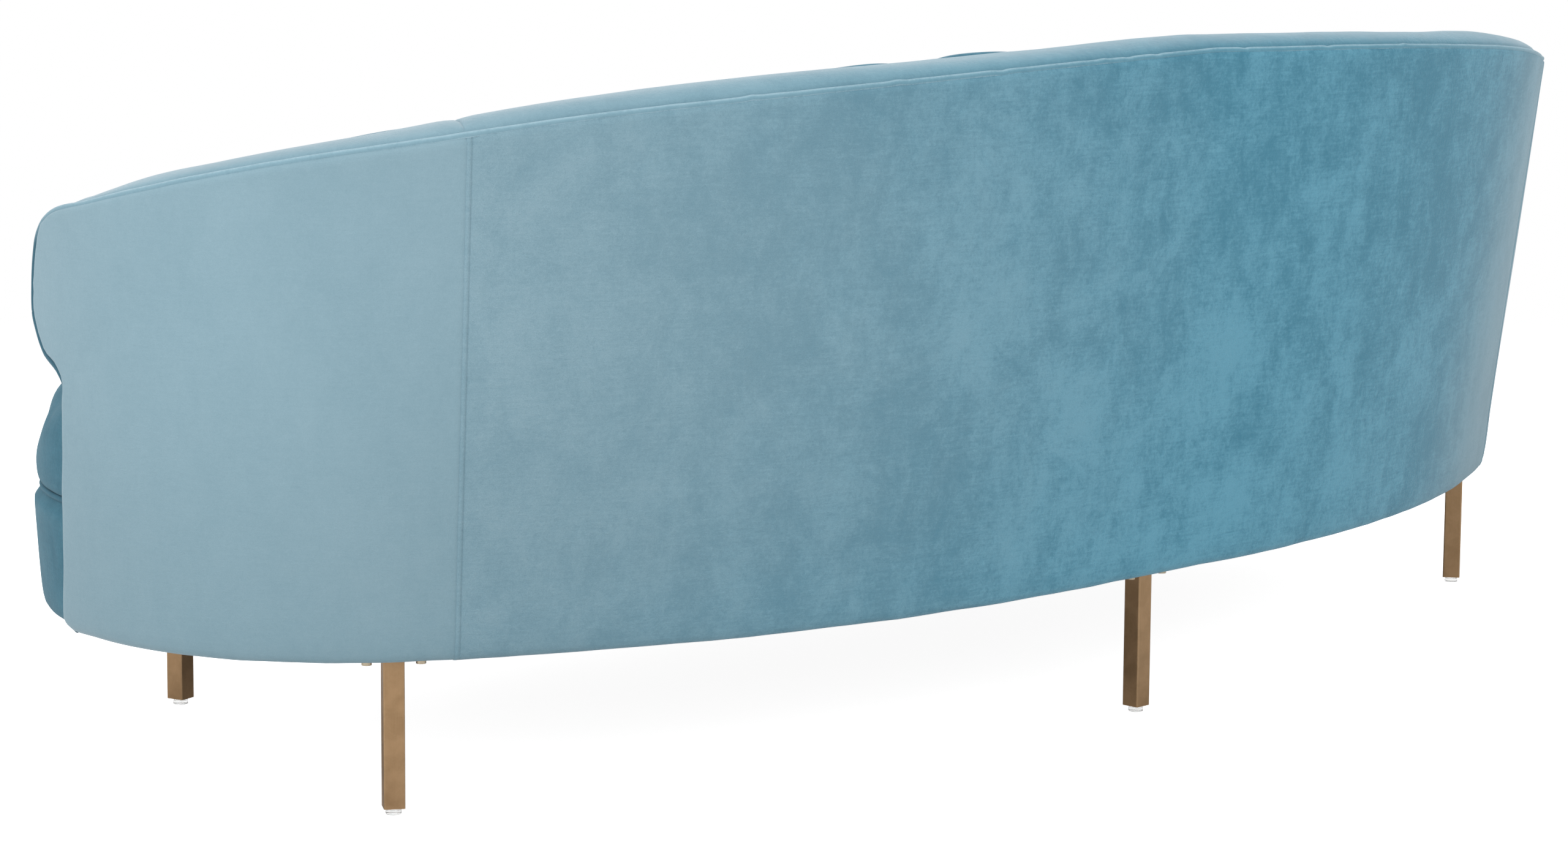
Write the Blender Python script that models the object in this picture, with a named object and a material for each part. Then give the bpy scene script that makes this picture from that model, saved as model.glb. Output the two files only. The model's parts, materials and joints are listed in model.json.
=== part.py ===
"""Curved tub sofa on five square tube legs.

Metres, +Z up. The back faces +Y, the seat opens to -Y and the arms lie at +X and -X.
The outside wall follows one plan curve, written as turn per run, and leans outwards as it rises.
A place on the wall is given by s, the run along that curve from the middle of the back, by its
height and by its inset from the outside face. The front follows a second curve, whose run q starts
at the arm's front edge.
"""
import math

import bmesh
import bpy
import numpy as np
from mathutils import Matrix, Vector

# Outside wall
back_run = 1.403
turn_station_shares = (0.0, 0.2, 0.4, 0.6, 0.8, 1.0)
turn_rate_shares = (-0.2, 0.89, 0.92, 0.83, 4.94, 1.89)
lean_station_shares = (0.0, 0.5, 1.0)
lean_shares = (0.102, 0.134, 0.065)
lower_edge_height = 0.164
back_height = 0.7504
arm_height = 0.6157
drop_station_shares = (0.0, 0.2, 0.4, 0.6, 0.8, 1.0)
drop_shares = (0.0, 0.045, 0.133, 0.277, 0.55, 1.0)
panel_thickness = 0.005
panel_row_shares = (0.34, 0.67, 1.0)
hem_fold = 0.010
hem_thickness = 0.0028
hem_round = 0.012
hem_tuck = 0.0025
panel_seam_run = 0.921

# Arm front edge, as shares of the nose reach and of the arm's height above the lower edge
nose_reach = 0.065
nose_run_shares = (0.0, -0.32, -0.58, -0.47, -0.06, 0.22, 0.34, 0.26, 0.03, -0.27, -0.77, -1.62)
nose_rise_shares = (0.0, 0.3, 0.575, 0.60, 0.635, 0.68, 0.73, 0.80, 0.89, 0.94, 0.975, 1.0)
nose_row_shares = (
    0.0, 0.16, 0.32, 0.46, 0.56, 0.595, 0.63, 0.675, 0.72, 0.78, 0.84, 0.89, 0.93, 0.965, 1.0
)
nose_corner_row = 12

# Fits and trim
fit_gap = 0.0003
panel_slack = 0.0019
station_gap = 0.001
welt_radius = 0.0035
welt_clearance = 0.0006

# Padded border on the top edge
cap_inner_inset = 0.0782
cap_depth = 0.0142
cap_crown = 0.0125
cap_station_shares = (0.0, 0.06, 0.25, 0.5, 0.75, 0.93, 1.0)
cap_rise_shares = (0.0, 0.35, 0.85, 1.0, 0.78, 0.25, -0.2)
cap_taper_run = 0.16
cap_end_share = 0.35

# Padded inside, with upright channels
pad_depth = 0.145
pad_station_shares = (0.0, 0.25, 0.55, 0.85, 1.0)
pad_depth_shares = (0.80, 0.93, 0.78, 0.40, 0.05)
arm_pad_share = 0.55
channel_puff = 0.021
channel_rise = 0.004
channel_sharpness = 2.2
back_channel_count = 10
arm_channel_count = 2
pad_row_shares = (0.0, 0.12, 0.22, 0.38, 0.56, 0.72, 0.85, 0.95, 1.0)
pad_wrap_wall = 0.035
pad_proud = 0.003

# Seat
seat_line = 0.405
seat_height = 0.428
seat_rear_drop = 0.0005
seat_row_shares = (0.14, 0.45, 0.75, 0.90)
seat_rise_shares = (0.60, 1.0, 0.88, 0.35)
seat_under_shares = (0.93, 0.96, 0.98, 1.0)
seat_cover_margin = 0.007
seat_tip_margin = 0.008
seat_cover_most = 0.7
seat_end_columns = 4
end_steps = 4
seat_face_inset = 0.004
seat_roll = 0.008
seat_roll_drop = 0.010
seat_waist_inset = 0.003
seat_tuck_inset = 0.012
seat_end_setback = 0.060
seat_end_width = 0.010
deck_thickness = 0.0248

# Front band and its curve
front_inset = 0.0085
front_toe_in = math.radians(3.7)
front_corner_radius = 0.333
front_corner_heading = math.radians(162)
front_bow_radius = 1.2
front_lean_share = 0.065
band_thickness = 0.0145
band_hem_fold = 0.012
band_fold_round = 0.020
band_start_setback = 0.010
seat_welt_height = 0.2962
seat_welt_inset = 0.0068

# Timber frame
board_width = 0.100
board_thickness = 0.024
board_end_setback = 0.030
post_depth = 0.0507
post_width = 0.030
first_post_run = 0.25
second_post_run = 0.75
last_post_share = 0.5385
arm_post_run = 1.24
rail_drop = 0.0012
post_drop = 0.0010
top_rail_height = 0.0305
tack_rail_rise = 0.0183
tack_rail_height = 0.040
web_rail_depth = 0.020
rear_web_rail_run = 1.29
front_web_rail_inset = 0.063
front_web_rail_start = 0.020
fascia_thickness = 0.004
cross_rail_places = (-0.60, 0.0, 0.60)
cross_rail_width = 0.025
cross_rail_drop = 0.0248
web_width = 0.070
web_thickness = 0.0015
web_pitch = 0.24
web_count = 7
web_hold = 0.0005
cover_thickness = 0.0012
cover_inset = 0.075
cover_end_setback = 0.10

# Legs, their bolts and their glides
tube_size = 0.022
tube_wall = 0.0015
tube_edge_radius = 0.0015
plate_length = 0.070
plate_depth = 0.038
plate_thickness = 0.004
leg_end_thickness = 0.012
bolt_spread = 0.0275
bolt_offset = 0.011
bolt_radius = 0.003
bolt_hole_radius = 0.0034
bolt_head_radius = 0.0052
bolt_head_height = 0.0058
backing_thickness = 0.003
glide_radius = 0.00825
glide_height = 0.005
glide_edge = 0.0012
glide_neck_radius = 0.0055
glide_neck_height = 0.0017
glide_stem_length = 0.020
rear_leg_inset = 0.033
side_leg_run = 0.980
side_leg_inset = 0.034
front_leg_run = 0.423
front_leg_inset = 0.039
cut_overrun = 0.004

# Counts of facets and of shared runs
round_sides = 10
glide_sides = 16
back_station_count = 11
arm_station_count = 14
end_station_count = 4
corner_station_count = 9
bow_station_count = 6
middle_station_count = 4
post_rows = 7


def smooth(stations, values, at):
    """Monotone cubic curve through values at rising stations."""
    x = np.asarray(stations, float)
    y = np.asarray(values, float)
    h = np.diff(x)
    d = np.diff(y) / h
    m = np.concatenate([d[:1], np.zeros(len(d) - 1), d[-1:]])
    for i in range(1, len(d)):
        if d[i - 1] * d[i] > 0:
            w1 = 2 * h[i] + h[i - 1]
            w2 = h[i] + 2 * h[i - 1]
            m[i] = (w1 + w2) / (w1 / d[i - 1] + w2 / d[i])
    at = np.clip(at, x[0], x[-1])
    i = np.clip(np.searchsorted(x, at, side="right") - 1, 0, len(h) - 1)
    t = (at - x[i]) / h[i]
    rising = y[i] * (1 + 2 * t) * (1 - t) ** 2 + m[i] * h[i] * t * (1 - t) ** 2
    return rising + y[i + 1] * t * t * (3 - 2 * t) + m[i + 1] * h[i] * t * t * (t - 1)


def running_sum(values, steps):
    """Trapezoid sum of values over steps, starting at zero."""
    return np.concatenate([[0.0], np.cumsum((values[1:] + values[:-1]) / 2 * steps)])


# The plan curve of the outside wall at its lower edge
run_table = np.linspace(0, back_run + nose_reach, 1500)
run_steps = np.diff(run_table)
turn_table = smooth(turn_station_shares, turn_rate_shares, run_table / back_run) / back_run
heading_table = running_sum(turn_table, run_steps)
x_table = running_sum(np.cos(heading_table), run_steps)
y_table = running_sum(-np.sin(heading_table), run_steps)


# Shared runs where every piece along the wall has a corner
back_stations = np.linspace(0, panel_seam_run, back_station_count)
arm_stations = np.linspace(panel_seam_run, back_run + nose_reach, arm_station_count)
wall_stations = np.concatenate([back_stations, arm_stations[1:]])


def wall_lean(s):
    return float(smooth(lean_station_shares, lean_shares, abs(s) / back_run))


def wall_heading(s):
    return float(np.interp(abs(s), run_table, heading_table))


def wall_at(run, z, inset):
    """Plan place on the true curve."""
    heading = wall_heading(run)
    out = wall_lean(run) * (z - lower_edge_height) - inset
    x = float(np.interp(run, run_table, x_table)) + math.sin(heading) * out
    y = float(np.interp(run, run_table, y_table)) + math.cos(heading) * out
    return x, y


def between_stations(run, table, place):
    """A value read at the shared runs and drawn straight between them."""
    after = int(np.clip(np.searchsorted(table, run), 1, len(table) - 1))
    share = (run - table[after - 1]) / (table[after] - table[after - 1])
    first = place(float(table[after - 1]))
    last = place(float(table[after]))
    return tuple(a + (b - a) * share for a, b in zip(first, last))


def wall_flat(s, z, inset):
    """Plan place of a wall point, before the plan is centred."""
    x, y = between_stations(abs(s), wall_stations, lambda run: wall_at(run, z, inset))
    return (-x if s < 0 else x), y


def stations(first, last):
    """Runs from first to last, with every shared run between them."""
    low, high = min(first, last), max(first, last)
    shared = [sign * run for run in wall_stations for sign in (-1, 1)]
    inner = sorted({float(run) for run in shared if low + station_gap < run < high - station_gap})
    runs = [low, *inner, high]
    return runs if first < last else runs[::-1]


# The front curve: a corner arc, a bow arc and a straight middle
arm_heading = wall_heading(back_run)
front_start_heading = arm_heading + front_toe_in
corner_run = front_corner_radius * (front_corner_heading - front_start_heading)
bow_run = front_bow_radius * (math.pi - front_corner_heading)
front_start = wall_flat(back_run, lower_edge_height, front_inset)


def arc_end(start, radius, heading_from, heading_to):
    """Where an arc that turns from one heading to another ends."""
    x = start[0] + radius * (math.sin(heading_to) - math.sin(heading_from))
    y = start[1] + radius * (math.cos(heading_to) - math.cos(heading_from))
    return x, y


corner_end = arc_end(front_start, front_corner_radius, front_start_heading, front_corner_heading)
bow_end = arc_end(corner_end, front_bow_radius, front_corner_heading, math.pi)
front_run = corner_run + bow_run + bow_end[0]


front_stations = np.concatenate([
    np.linspace(-seat_end_setback - seat_end_setback, 0, end_station_count),
    np.linspace(0, corner_run, corner_station_count)[1:],
    np.linspace(corner_run, corner_run + bow_run, bow_station_count)[1:],
    np.linspace(corner_run + bow_run, front_run, middle_station_count)[1:],
])


def front_at(q, z, inset):
    """Plan place and heading of a front point at run q from the arm's front edge, on the +X side."""
    out = front_lean_share * (z - lower_edge_height) - inset
    if q < 0:
        x, y = wall_flat(back_run + q, lower_edge_height, front_inset)
        heading = wall_heading(back_run + q)
    elif q < corner_run:
        heading = front_start_heading + q / front_corner_radius
        x, y = arc_end(front_start, front_corner_radius, front_start_heading, heading)
    elif q < corner_run + bow_run:
        heading = front_corner_heading + (q - corner_run) / front_bow_radius
        x, y = arc_end(corner_end, front_bow_radius, front_corner_heading, heading)
    else:
        heading = math.pi
        x = bow_end[0] - (q - corner_run - bow_run)
        y = bow_end[1]
    return x + math.sin(heading) * out, y + math.cos(heading) * out, heading


def front_flat(q, z, inset):
    return between_stations(q, front_stations, lambda run: front_at(run, z, inset))


def top_edge_height(run):
    drop = smooth(drop_station_shares, drop_shares, run / arm_top_run)
    return (back_height - (back_height - arm_height) * float(drop),)


def drop_height(s):
    """Height of the top edge's welt at run s."""
    return between_stations(abs(s), wall_stations, top_edge_height)[0]


arm_top_run = back_run + nose_reach * nose_run_shares[-1]
rear_reach = max(wall_flat(s, drop_height(s), 0)[1] for s in back_stations)
front_reach = front_flat(front_run, seat_welt_height, 0)[1]
plan_shift = -(rear_reach + front_reach) / 2


def wall_point(s, z, inset=0.0):
    x, y = wall_flat(s, z, inset)
    return Vector((x, y + plan_shift, z))


def front_point(q, z, inset=0.0, side=1.0):
    x, y, heading = front_flat(q, z, inset)
    return Vector((side * x, y + plan_shift, z))


def front_edge_run(z):
    """Run of the arm's front edge at height z."""
    share = (z - lower_edge_height) / (arm_height - lower_edge_height)
    return back_run + nose_reach * float(smooth(nose_rise_shares, nose_run_shares, share))


def edge_line():
    """Centre line of the outside welt in run and height, from the lower front corner to the middle."""
    rise = arm_height - lower_edge_height
    line = []
    for share in nose_row_shares:
        z = lower_edge_height + rise * share
        line.append((front_edge_run(z), z))
    for s in stations(arm_top_run, 0)[1:]:
        line.append((s, drop_height(s)))
    return np.array(line)


def moved_in(line, distance):
    """The line shifted sideways towards the wall's middle."""
    step = np.gradient(line, axis=0)
    step /= np.linalg.norm(step, axis=1)[:, None]
    inward = np.stack([-step[:, 1], step[:, 0]], axis=1)
    return line + inward * distance


# Materials
def finish(name, colour, roughness, metallic=0.0, alpha=1.0):
    material = bpy.data.materials.new(name)
    material.use_nodes = True
    shader = material.node_tree.nodes["Principled BSDF"]
    shader.inputs["Base Color"].default_value = (*colour, 1.0)
    shader.inputs["Roughness"].default_value = roughness
    shader.inputs["Metallic"].default_value = metallic
    shader.inputs["Alpha"].default_value = alpha
    material.diffuse_color = (*colour, alpha)
    return material


def clear_scene():
    for old in list(bpy.data.objects):
        bpy.data.objects.remove(old, do_unlink=True)


def make_object(name, mesh, material):
    node = bpy.data.objects.new(name, mesh)
    bpy.context.scene.collection.objects.link(node)
    if not mesh.materials:
        mesh.materials.append(material)
    return node


def closed_mesh(name, bm):
    bmesh.ops.recalc_face_normals(bm, faces=bm.faces[:])
    mesh = bpy.data.meshes.new(name)
    bm.to_mesh(mesh)
    bm.free()
    return mesh


def slab(name, face, back, material):
    """One closed body between two grids of points with the same rows and columns."""
    bm = bmesh.new()
    columns = len(face)
    rows = len(face[0])
    front = [[bm.verts.new(p) for p in column] for column in face]
    rear = [[bm.verts.new(p) for p in column] for column in back]
    for i in range(columns - 1):
        for j in range(rows - 1):
            bm.faces.new((front[i][j], front[i + 1][j], front[i + 1][j + 1], front[i][j + 1]))
            bm.faces.new((rear[i][j], rear[i][j + 1], rear[i + 1][j + 1], rear[i + 1][j]))
    for i in range(columns - 1):
        for j in (0, rows - 1):
            bm.faces.new((front[i][j], rear[i][j], rear[i + 1][j], front[i + 1][j]))
    for j in range(rows - 1):
        for i in (0, columns - 1):
            bm.faces.new((front[i][j], front[i][j + 1], rear[i][j + 1], rear[i][j]))
    mesh = closed_mesh(name, bm)
    mesh.shade_smooth()
    mesh.set_sharp_from_angle(angle=math.radians(35))
    return make_object(name, mesh, material)


def ribbon(name, runs, heights, insets, material, rows=2):
    """A bent bar along the wall: low and high heights as functions of the run, outer and inner inset."""
    low, high = heights
    grids = []
    for inset in insets:
        grid = []
        for s in runs:
            grid.append([wall_point(s, z, inset) for z in np.linspace(low(s), high(s), rows)])
        grids.append(grid)
    return slab(name, grids[0], grids[1], material)


def box_mesh(name, size, centre):
    bm = bmesh.new()
    bmesh.ops.create_cube(bm, size=1.0, matrix=Matrix.Translation(centre) @ Matrix.Diagonal((*size, 1.0)))
    return closed_mesh(name, bm)


def cylinder_mesh(name, radius, low, high, centre=(0.0, 0.0), sides=round_sides):
    bm = bmesh.new()
    place = Matrix.Translation((centre[0], centre[1], (low + high) / 2))
    bmesh.ops.create_cone(
        bm, cap_ends=True, segments=sides, radius1=radius, radius2=radius, depth=high - low, matrix=place
    )
    return closed_mesh(name, bm)


def combined(name, base_mesh, steps):
    """The mesh that Boolean steps make of a base mesh; each step is an operation and a tool mesh."""
    base = bpy.data.objects.new(name + "_stock", base_mesh)
    bpy.context.scene.collection.objects.link(base)
    tools = []
    for operation, tool_mesh in steps:
        tool = bpy.data.objects.new(name + "_tool", tool_mesh)
        bpy.context.scene.collection.objects.link(tool)
        tool.hide_render = True
        tool.display_type = "WIRE"
        tools.append(tool)
        cut = base.modifiers.new("cut", "BOOLEAN")
        cut.operation = operation
        cut.solver = "EXACT"
        cut.object = tool
    bpy.context.view_layer.update()
    graph = bpy.context.evaluated_depsgraph_get()
    mesh = bpy.data.meshes.new_from_object(base.evaluated_get(graph))
    mesh.name = name
    for old in (base, *tools):
        bpy.data.objects.remove(old, do_unlink=True)
    return mesh


def tube_along(name, points, radius, material):
    """A round fabric-covered cord along a row of points, with closed ends."""
    path = bpy.data.curves.new(name, "CURVE")
    path.dimensions = "3D"
    path.bevel_depth = radius
    path.bevel_resolution = 1
    path.use_fill_caps = True
    spline = path.splines.new("POLY")
    spline.points.add(len(points) - 1)
    for point, place in zip(spline.points, points):
        point.co = (*place, 1.0)
    node = bpy.data.objects.new(name, path)
    bpy.context.scene.collection.objects.link(node)
    path.materials.append(material)
    return node


# Outside panels
panel_top_drop = welt_radius + welt_clearance
board_low = lower_edge_height + hem_thickness + fit_gap
board_high = board_low + board_thickness


def hem_rows():
    """Inset and height of the outside and inside faces where a panel folds under at its lower edge."""
    outside = [(hem_fold, 0.0), (hem_tuck, hem_tuck), (0.0, hem_round)]
    inside = [(hem_fold, hem_thickness), (panel_thickness, hem_thickness), (panel_thickness, hem_round)]
    return outside, inside


def outside_back_panel(material):
    outside, inside = hem_rows()
    face, back = [], []
    for s in stations(-(panel_seam_run - fit_gap), panel_seam_run - fit_gap):
        top = drop_height(s) - panel_top_drop
        low = lower_edge_height + hem_round
        rises = [low + (top - low) * share for share in panel_row_shares]
        column = [wall_point(s, lower_edge_height + rise, inset) for inset, rise in outside]
        face.append(column + [wall_point(s, z) for z in rises])
        column = [wall_point(s, lower_edge_height + rise, inset) for inset, rise in inside]
        back.append(column + [wall_point(s, z, panel_thickness) for z in rises])
    return slab("outside_back_panel", face, back, material)


def length_shares(line):
    steps = np.linalg.norm(np.diff(line, axis=0), axis=1)
    return np.concatenate([[0], np.cumsum(steps)]) / steps.sum()


def arm_panel_grid():
    """Run and height of the arm panel's points above its hem: a patch between seam, nose and top."""
    edge = moved_in(edge_line(), panel_top_drop)
    low = lower_edge_height + hem_round
    seam = panel_seam_run + fit_gap
    nose = edge[1:nose_corner_row + 1]
    nose = np.vstack([[np.interp(low, edge[:nose_corner_row, 1], edge[:nose_corner_row, 0]), low], nose])
    top = np.array([p for p in edge[nose_corner_row:] if p[0] > seam + station_gap])
    top = np.vstack([top, [seam, drop_height(seam) - panel_top_drop]])[::-1]
    seam_low = np.array([seam, low])
    seam_high = top[0]
    grid = []
    for u, over in zip(length_shares(top), top):
        under = seam_low + (nose[0] - seam_low) * u
        column = []
        for w, right in zip(length_shares(nose), nose):
            left = seam_low + (seam_high - seam_low) * w
            corners = (1 - u) * (1 - w) * seam_low + u * (1 - w) * nose[0]
            corners = corners + (1 - u) * w * seam_high + u * w * nose[-1]
            column.append((1 - u) * left + u * right + (1 - w) * under + w * over - corners)
        grid.append(column)
    return grid


def outside_arm_panel(name, side, material):
    outside, inside = hem_rows()
    face, back = [], []
    for column in arm_panel_grid():
        s_low = column[0][0]
        rows = [wall_point(side * s_low, lower_edge_height + rise, inset) for inset, rise in outside[:2]]
        face.append(rows + [wall_point(side * s, z) for s, z in column])
        rows = [wall_point(side * s_low, lower_edge_height + rise, inset) for inset, rise in inside[:2]]
        back.append(rows + [wall_point(side * s, z, panel_thickness) for s, z in column])
    return slab(name, face, back, material)


def outer_welt(material):
    """The welt round the whole outside: up one arm front, along the top edge and down the other."""
    line = edge_line()
    right = [wall_point(s, z, welt_radius) for s, z in line]
    left = [wall_point(-s, z, welt_radius) for s, z in line[:-1]]
    return tube_along("outer_welt", right + left[::-1], welt_radius, material)


# Padded border
cap_outer_inset = 2 * welt_radius + fit_gap
cap_end_run = arm_post_run + post_width / 2


def top_cap(name, runs, material):
    face, back = [], []
    for s in runs:
        taper = min(1.0, (cap_end_run - abs(s)) / cap_taper_run)
        fullness = cap_end_share + (1 - cap_end_share) * math.sin(taper * math.pi / 2)
        width = cap_inner_inset - cap_outer_inset
        top = drop_height(s)
        column, under = [], []
        for across, rise in zip(cap_station_shares, cap_rise_shares):
            inset = cap_outer_inset + width * across
            column.append(wall_point(s, top + cap_crown * rise * fullness, inset))
            under.append(wall_point(s, top - cap_depth, inset))
        face.append(column)
        back.append(under)
    return slab(name, face, back, material)


# Padded inside
pad_back_inset = cap_inner_inset + fit_gap


def arm_share(s):
    """0 at the middle of the back, 1 at the arm's front."""
    return min(1.0, abs(s) / cap_end_run)


def pad_inset(s, share, puff):
    """How far in the pad's face lies, at a share of its height and a fullness of its channel."""
    depth = pad_depth * (1 - (1 - arm_pad_share) * arm_share(s) ** 2)
    shape = float(smooth(pad_station_shares, pad_depth_shares, share))
    swell = channel_puff * puff * math.sin(math.pi * (0.12 + 0.8 * share)) ** 0.5
    return pad_back_inset + depth * shape + swell


def channel_columns(first, last, channels, steps=6):
    """Run and fullness of the columns across a row of channels."""
    columns = []
    for k in range(channels * steps + 1):
        across = (k % steps) / steps
        puff = 1 - abs(2 * across - 1) ** channel_sharpness
        columns.append((first + (last - first) * k / (channels * steps), puff))
    return columns


def pad_column(s, puff):
    top = drop_height(s)
    face, back = [], []
    for share in pad_row_shares:
        z = seat_line + (top - seat_line) * share
        lift = channel_rise * puff if share == pad_row_shares[-1] else 0.0
        face.append(wall_point(s, z + lift, pad_inset(s, share, puff)))
        rear_z = z - fit_gap if share == pad_row_shares[-1] else z
        back.append(wall_point(s, rear_z, pad_back_inset))
    return face, back


def inside_back_pad(material):
    columns = channel_columns(-panel_seam_run + fit_gap, panel_seam_run - fit_gap, back_channel_count)
    made = [pad_column(s, puff) for s, puff in columns]
    return slab("inside_back_pad", [m[0] for m in made], [m[1] for m in made], material)


def inside_arm_pad(name, side, material):
    """Upright channels, then the pad's end, which wraps the arm's front and fills its nose."""
    wrap_run = cap_end_run + welt_radius
    columns = channel_columns(panel_seam_run + fit_gap, wrap_run, arm_channel_count, 5)
    made = [pad_column(side * s, puff) for s, puff in columns]
    face = [m[0] for m in made]
    back = [m[1] for m in made]
    steps = 7
    outer_inset = cap_outer_inset + fit_gap
    for k in range(1, steps + 1):
        turn = math.pi / 2 * k / steps
        front_column, rear_column = [], []
        for share in pad_row_shares:
            z = seat_line + (arm_height - seat_line) * share
            tip = front_edge_run(z) + pad_proud
            inner = pad_inset(wrap_run, share, 0.0)
            s = wrap_run + (tip - wrap_run) * math.sin(turn) ** 0.8
            inset = outer_inset + (inner - outer_inset) * math.cos(turn) ** 0.7
            front_column.append(wall_point(side * s, z, inset))
            core = max(tip - pad_wrap_wall, wrap_run + fit_gap)
            lengthwise = min(1.0, 2 * k / steps)
            across = max(0.0, 2 * k / steps - 1)
            rear_run = wrap_run + (core - wrap_run) * lengthwise
            rear_inset = pad_back_inset + (outer_inset - pad_back_inset) * across
            rear_z = z - fit_gap if share == pad_row_shares[-1] else z
            rear_column.append(wall_point(side * rear_run, rear_z, rear_inset))
        face.append(front_column)
        back.append(rear_column)
    return slab(name, face, back, material)


# Seat, its deck and the cover under the frame
def region_lines(rear_inset, front_extra, z, end_run, end_inset, start_run):
    """Rear and front lines of a floor-shaped piece from its +X end to the middle, at one height."""
    rear = []
    if end_inset < rear_inset:
        rear = [wall_point(end_run, z, inset) for inset in np.linspace(end_inset, rear_inset, end_steps)[:-1]]
    rear += [wall_point(s, z, rear_inset) for s in stations(end_run, 0)]
    shares = length_shares(np.array([tuple(p) for p in rear]))
    front = [front_point(start_run + (front_run - start_run) * share, z, front_extra) for share in shares]
    return rear, front


def mirrored(columns):
    """Columns from the +X end to the middle, carried on to the -X end."""
    return columns + [[Vector((-p[0], p[1], p[2])) for p in column] for column in columns[-2::-1]]


seat_low = seat_welt_height + welt_radius + fit_gap
seat_end_run = back_run - seat_end_setback
seat_end_inset = front_inset + seat_face_inset + seat_end_width
deck_high = seat_low - fit_gap
deck_low = deck_high - deck_thickness
web_rail_top = deck_low - fit_gap - web_thickness - fit_gap
cross_rail_top = web_rail_top - cross_rail_drop
tack_rail_low = deck_high + tack_rail_rise
tack_rail_high = tack_rail_low + tack_rail_height


def seat_lines(extra, z):
    return region_lines(pad_back_inset, extra, z, seat_end_run, seat_end_inset, -seat_end_setback)


def seat_cushion(material):
    """Tight seat with a crowned top and a full front face; its margins run under the inside pads."""
    rear_z = seat_line - seat_rear_drop
    roll = (seat_face_inset + seat_roll, seat_line - seat_roll_drop)
    fullest = (seat_face_inset, (seat_line + seat_low) / 2)
    waist = (seat_face_inset + seat_waist_inset, seat_low + (seat_line - seat_low) / 5)
    tuck = (seat_face_inset + seat_tuck_inset, seat_low + seat_waist_inset)
    faces = [seat_lines(inset, z)[1] for inset, z in (roll, fullest, waist, tuck)]
    rear, front = seat_lines(seat_face_inset + seat_roll, rear_z)
    low_rear, low_front = seat_lines(seat_face_inset + seat_tuck_inset, seat_low)
    runs = stations(seat_end_run, 0)
    end_columns = len(rear) - len(runs)
    tip_cover = front_edge_run(seat_line) + pad_proud - seat_end_run + seat_tip_margin
    top, bottom = [], []
    for i in range(len(rear)):
        if i < end_columns:
            reach = (front[i] - rear[i]).length
            cover = min(tip_cover / reach, seat_cover_most) if reach > 0 else seat_cover_most
            margin = rear[i].lerp(front[i], cover)
        else:
            s = runs[i - end_columns]
            margin = wall_point(s, rear_z, pad_inset(s, 0.0, 1.0) + seat_cover_margin)
        fullness = min(1.0, max(0.0, i - end_columns) / seat_end_columns)
        column = [rear[i], margin]
        for share, rise in zip(seat_row_shares, seat_rise_shares):
            place = margin.lerp(front[i], share)
            place.z = rear_z + (seat_height - rear_z) * rise * fullness
            column.append(place)
        column += [line[i] for line in faces]
        top.append(column)
        flat_margin = Vector((margin.x, margin.y, seat_low))
        under = [low_rear[i], flat_margin]
        under += [flat_margin.lerp(low_front[i], share) for share in seat_row_shares]
        under += [flat_margin.lerp(low_front[i], share) for share in seat_under_shares]
        bottom.append(under)
    return slab("seat_cushion", mirrored(top), mirrored(bottom), material)


def flat_piece(name, rear_inset, front_extra, low, high, end_run, start_run, material):
    """A level sheet or pad between the wall and the front."""
    grids = []
    for z in (high, low):
        rear, front = region_lines(rear_inset, front_extra, z, end_run, rear_inset, start_run)
        grids.append(mirrored([[r, f] for r, f in zip(rear, front)]))
    return slab(name, grids[0], grids[1], material)


# Front band
def front_runs(first):
    """Runs from first to the middle of the front, with every shared run between them."""
    return [first] + [float(q) for q in front_stations if q > first + station_gap]


def band_column(q, side, rows):
    return [front_point(q, lower_edge_height + rise, inset, side) for inset, rise in rows]


def front_band(material):
    top = seat_welt_height - welt_radius - fit_gap - lower_edge_height
    outside = [(band_hem_fold, 0.0), (hem_tuck, hem_tuck), (0.0, band_fold_round)]
    outside += [(0.0, top / 2), (0.0, top - hem_round), (seat_face_inset, top)]
    inside = [(band_hem_fold, hem_thickness), (band_thickness, hem_thickness)]
    inside += [(band_thickness, rise) for inset, rise in outside[2:]]
    inside[0] = (band_hem_fold, hem_thickness)
    face, back = [], []
    runs = front_runs(0)
    for side in (1.0, -1.0):
        grid_face, grid_back = [], []
        for rows, grid in ((outside, grid_face), (inside, grid_back)):
            first = []
            for inset, rise in rows:
                z = lower_edge_height + rise
                first.append(front_point(front_edge_run(z) - back_run - band_start_setback, z, inset, side))
            grid.append(first)
            grid.extend(band_column(q, side, rows) for q in runs)
        if side > 0:
            face += grid_face
            back += grid_back
        else:
            face += grid_face[-2::-1]
            back += grid_back[-2::-1]
    return slab("front_band", face, back, material)


def front_ribbon(name, first, low, high, outer, inner, material):
    """A bent bar along the front from one end to the other."""
    face, back = [], []
    runs = front_runs(first)
    for side, order in ((1.0, runs), (-1.0, runs[-2::-1])):
        for q in order:
            face.append([front_point(q, low, outer, side), front_point(q, high, outer, side)])
            back.append([front_point(q, low, inner, side), front_point(q, high, inner, side)])
    return slab(name, face, back, material)


def seat_welt(material):
    start = front_edge_run(seat_welt_height) - back_run - band_start_setback
    runs = front_runs(start)
    right = [front_point(q, seat_welt_height, seat_welt_inset) for q in runs]
    left = [front_point(q, seat_welt_height, seat_welt_inset, -1.0) for q in runs[-2::-1]]
    return tube_along("seat_welt", right + left, welt_radius, material)


# Places across the sofa
def line_y(points, x):
    """Where a row of plan points on the +X side crosses a place along X."""
    table = sorted((p[0], p[1]) for p in points)
    return float(np.interp(abs(x), [p[0] for p in table], [p[1] for p in table]))


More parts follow.
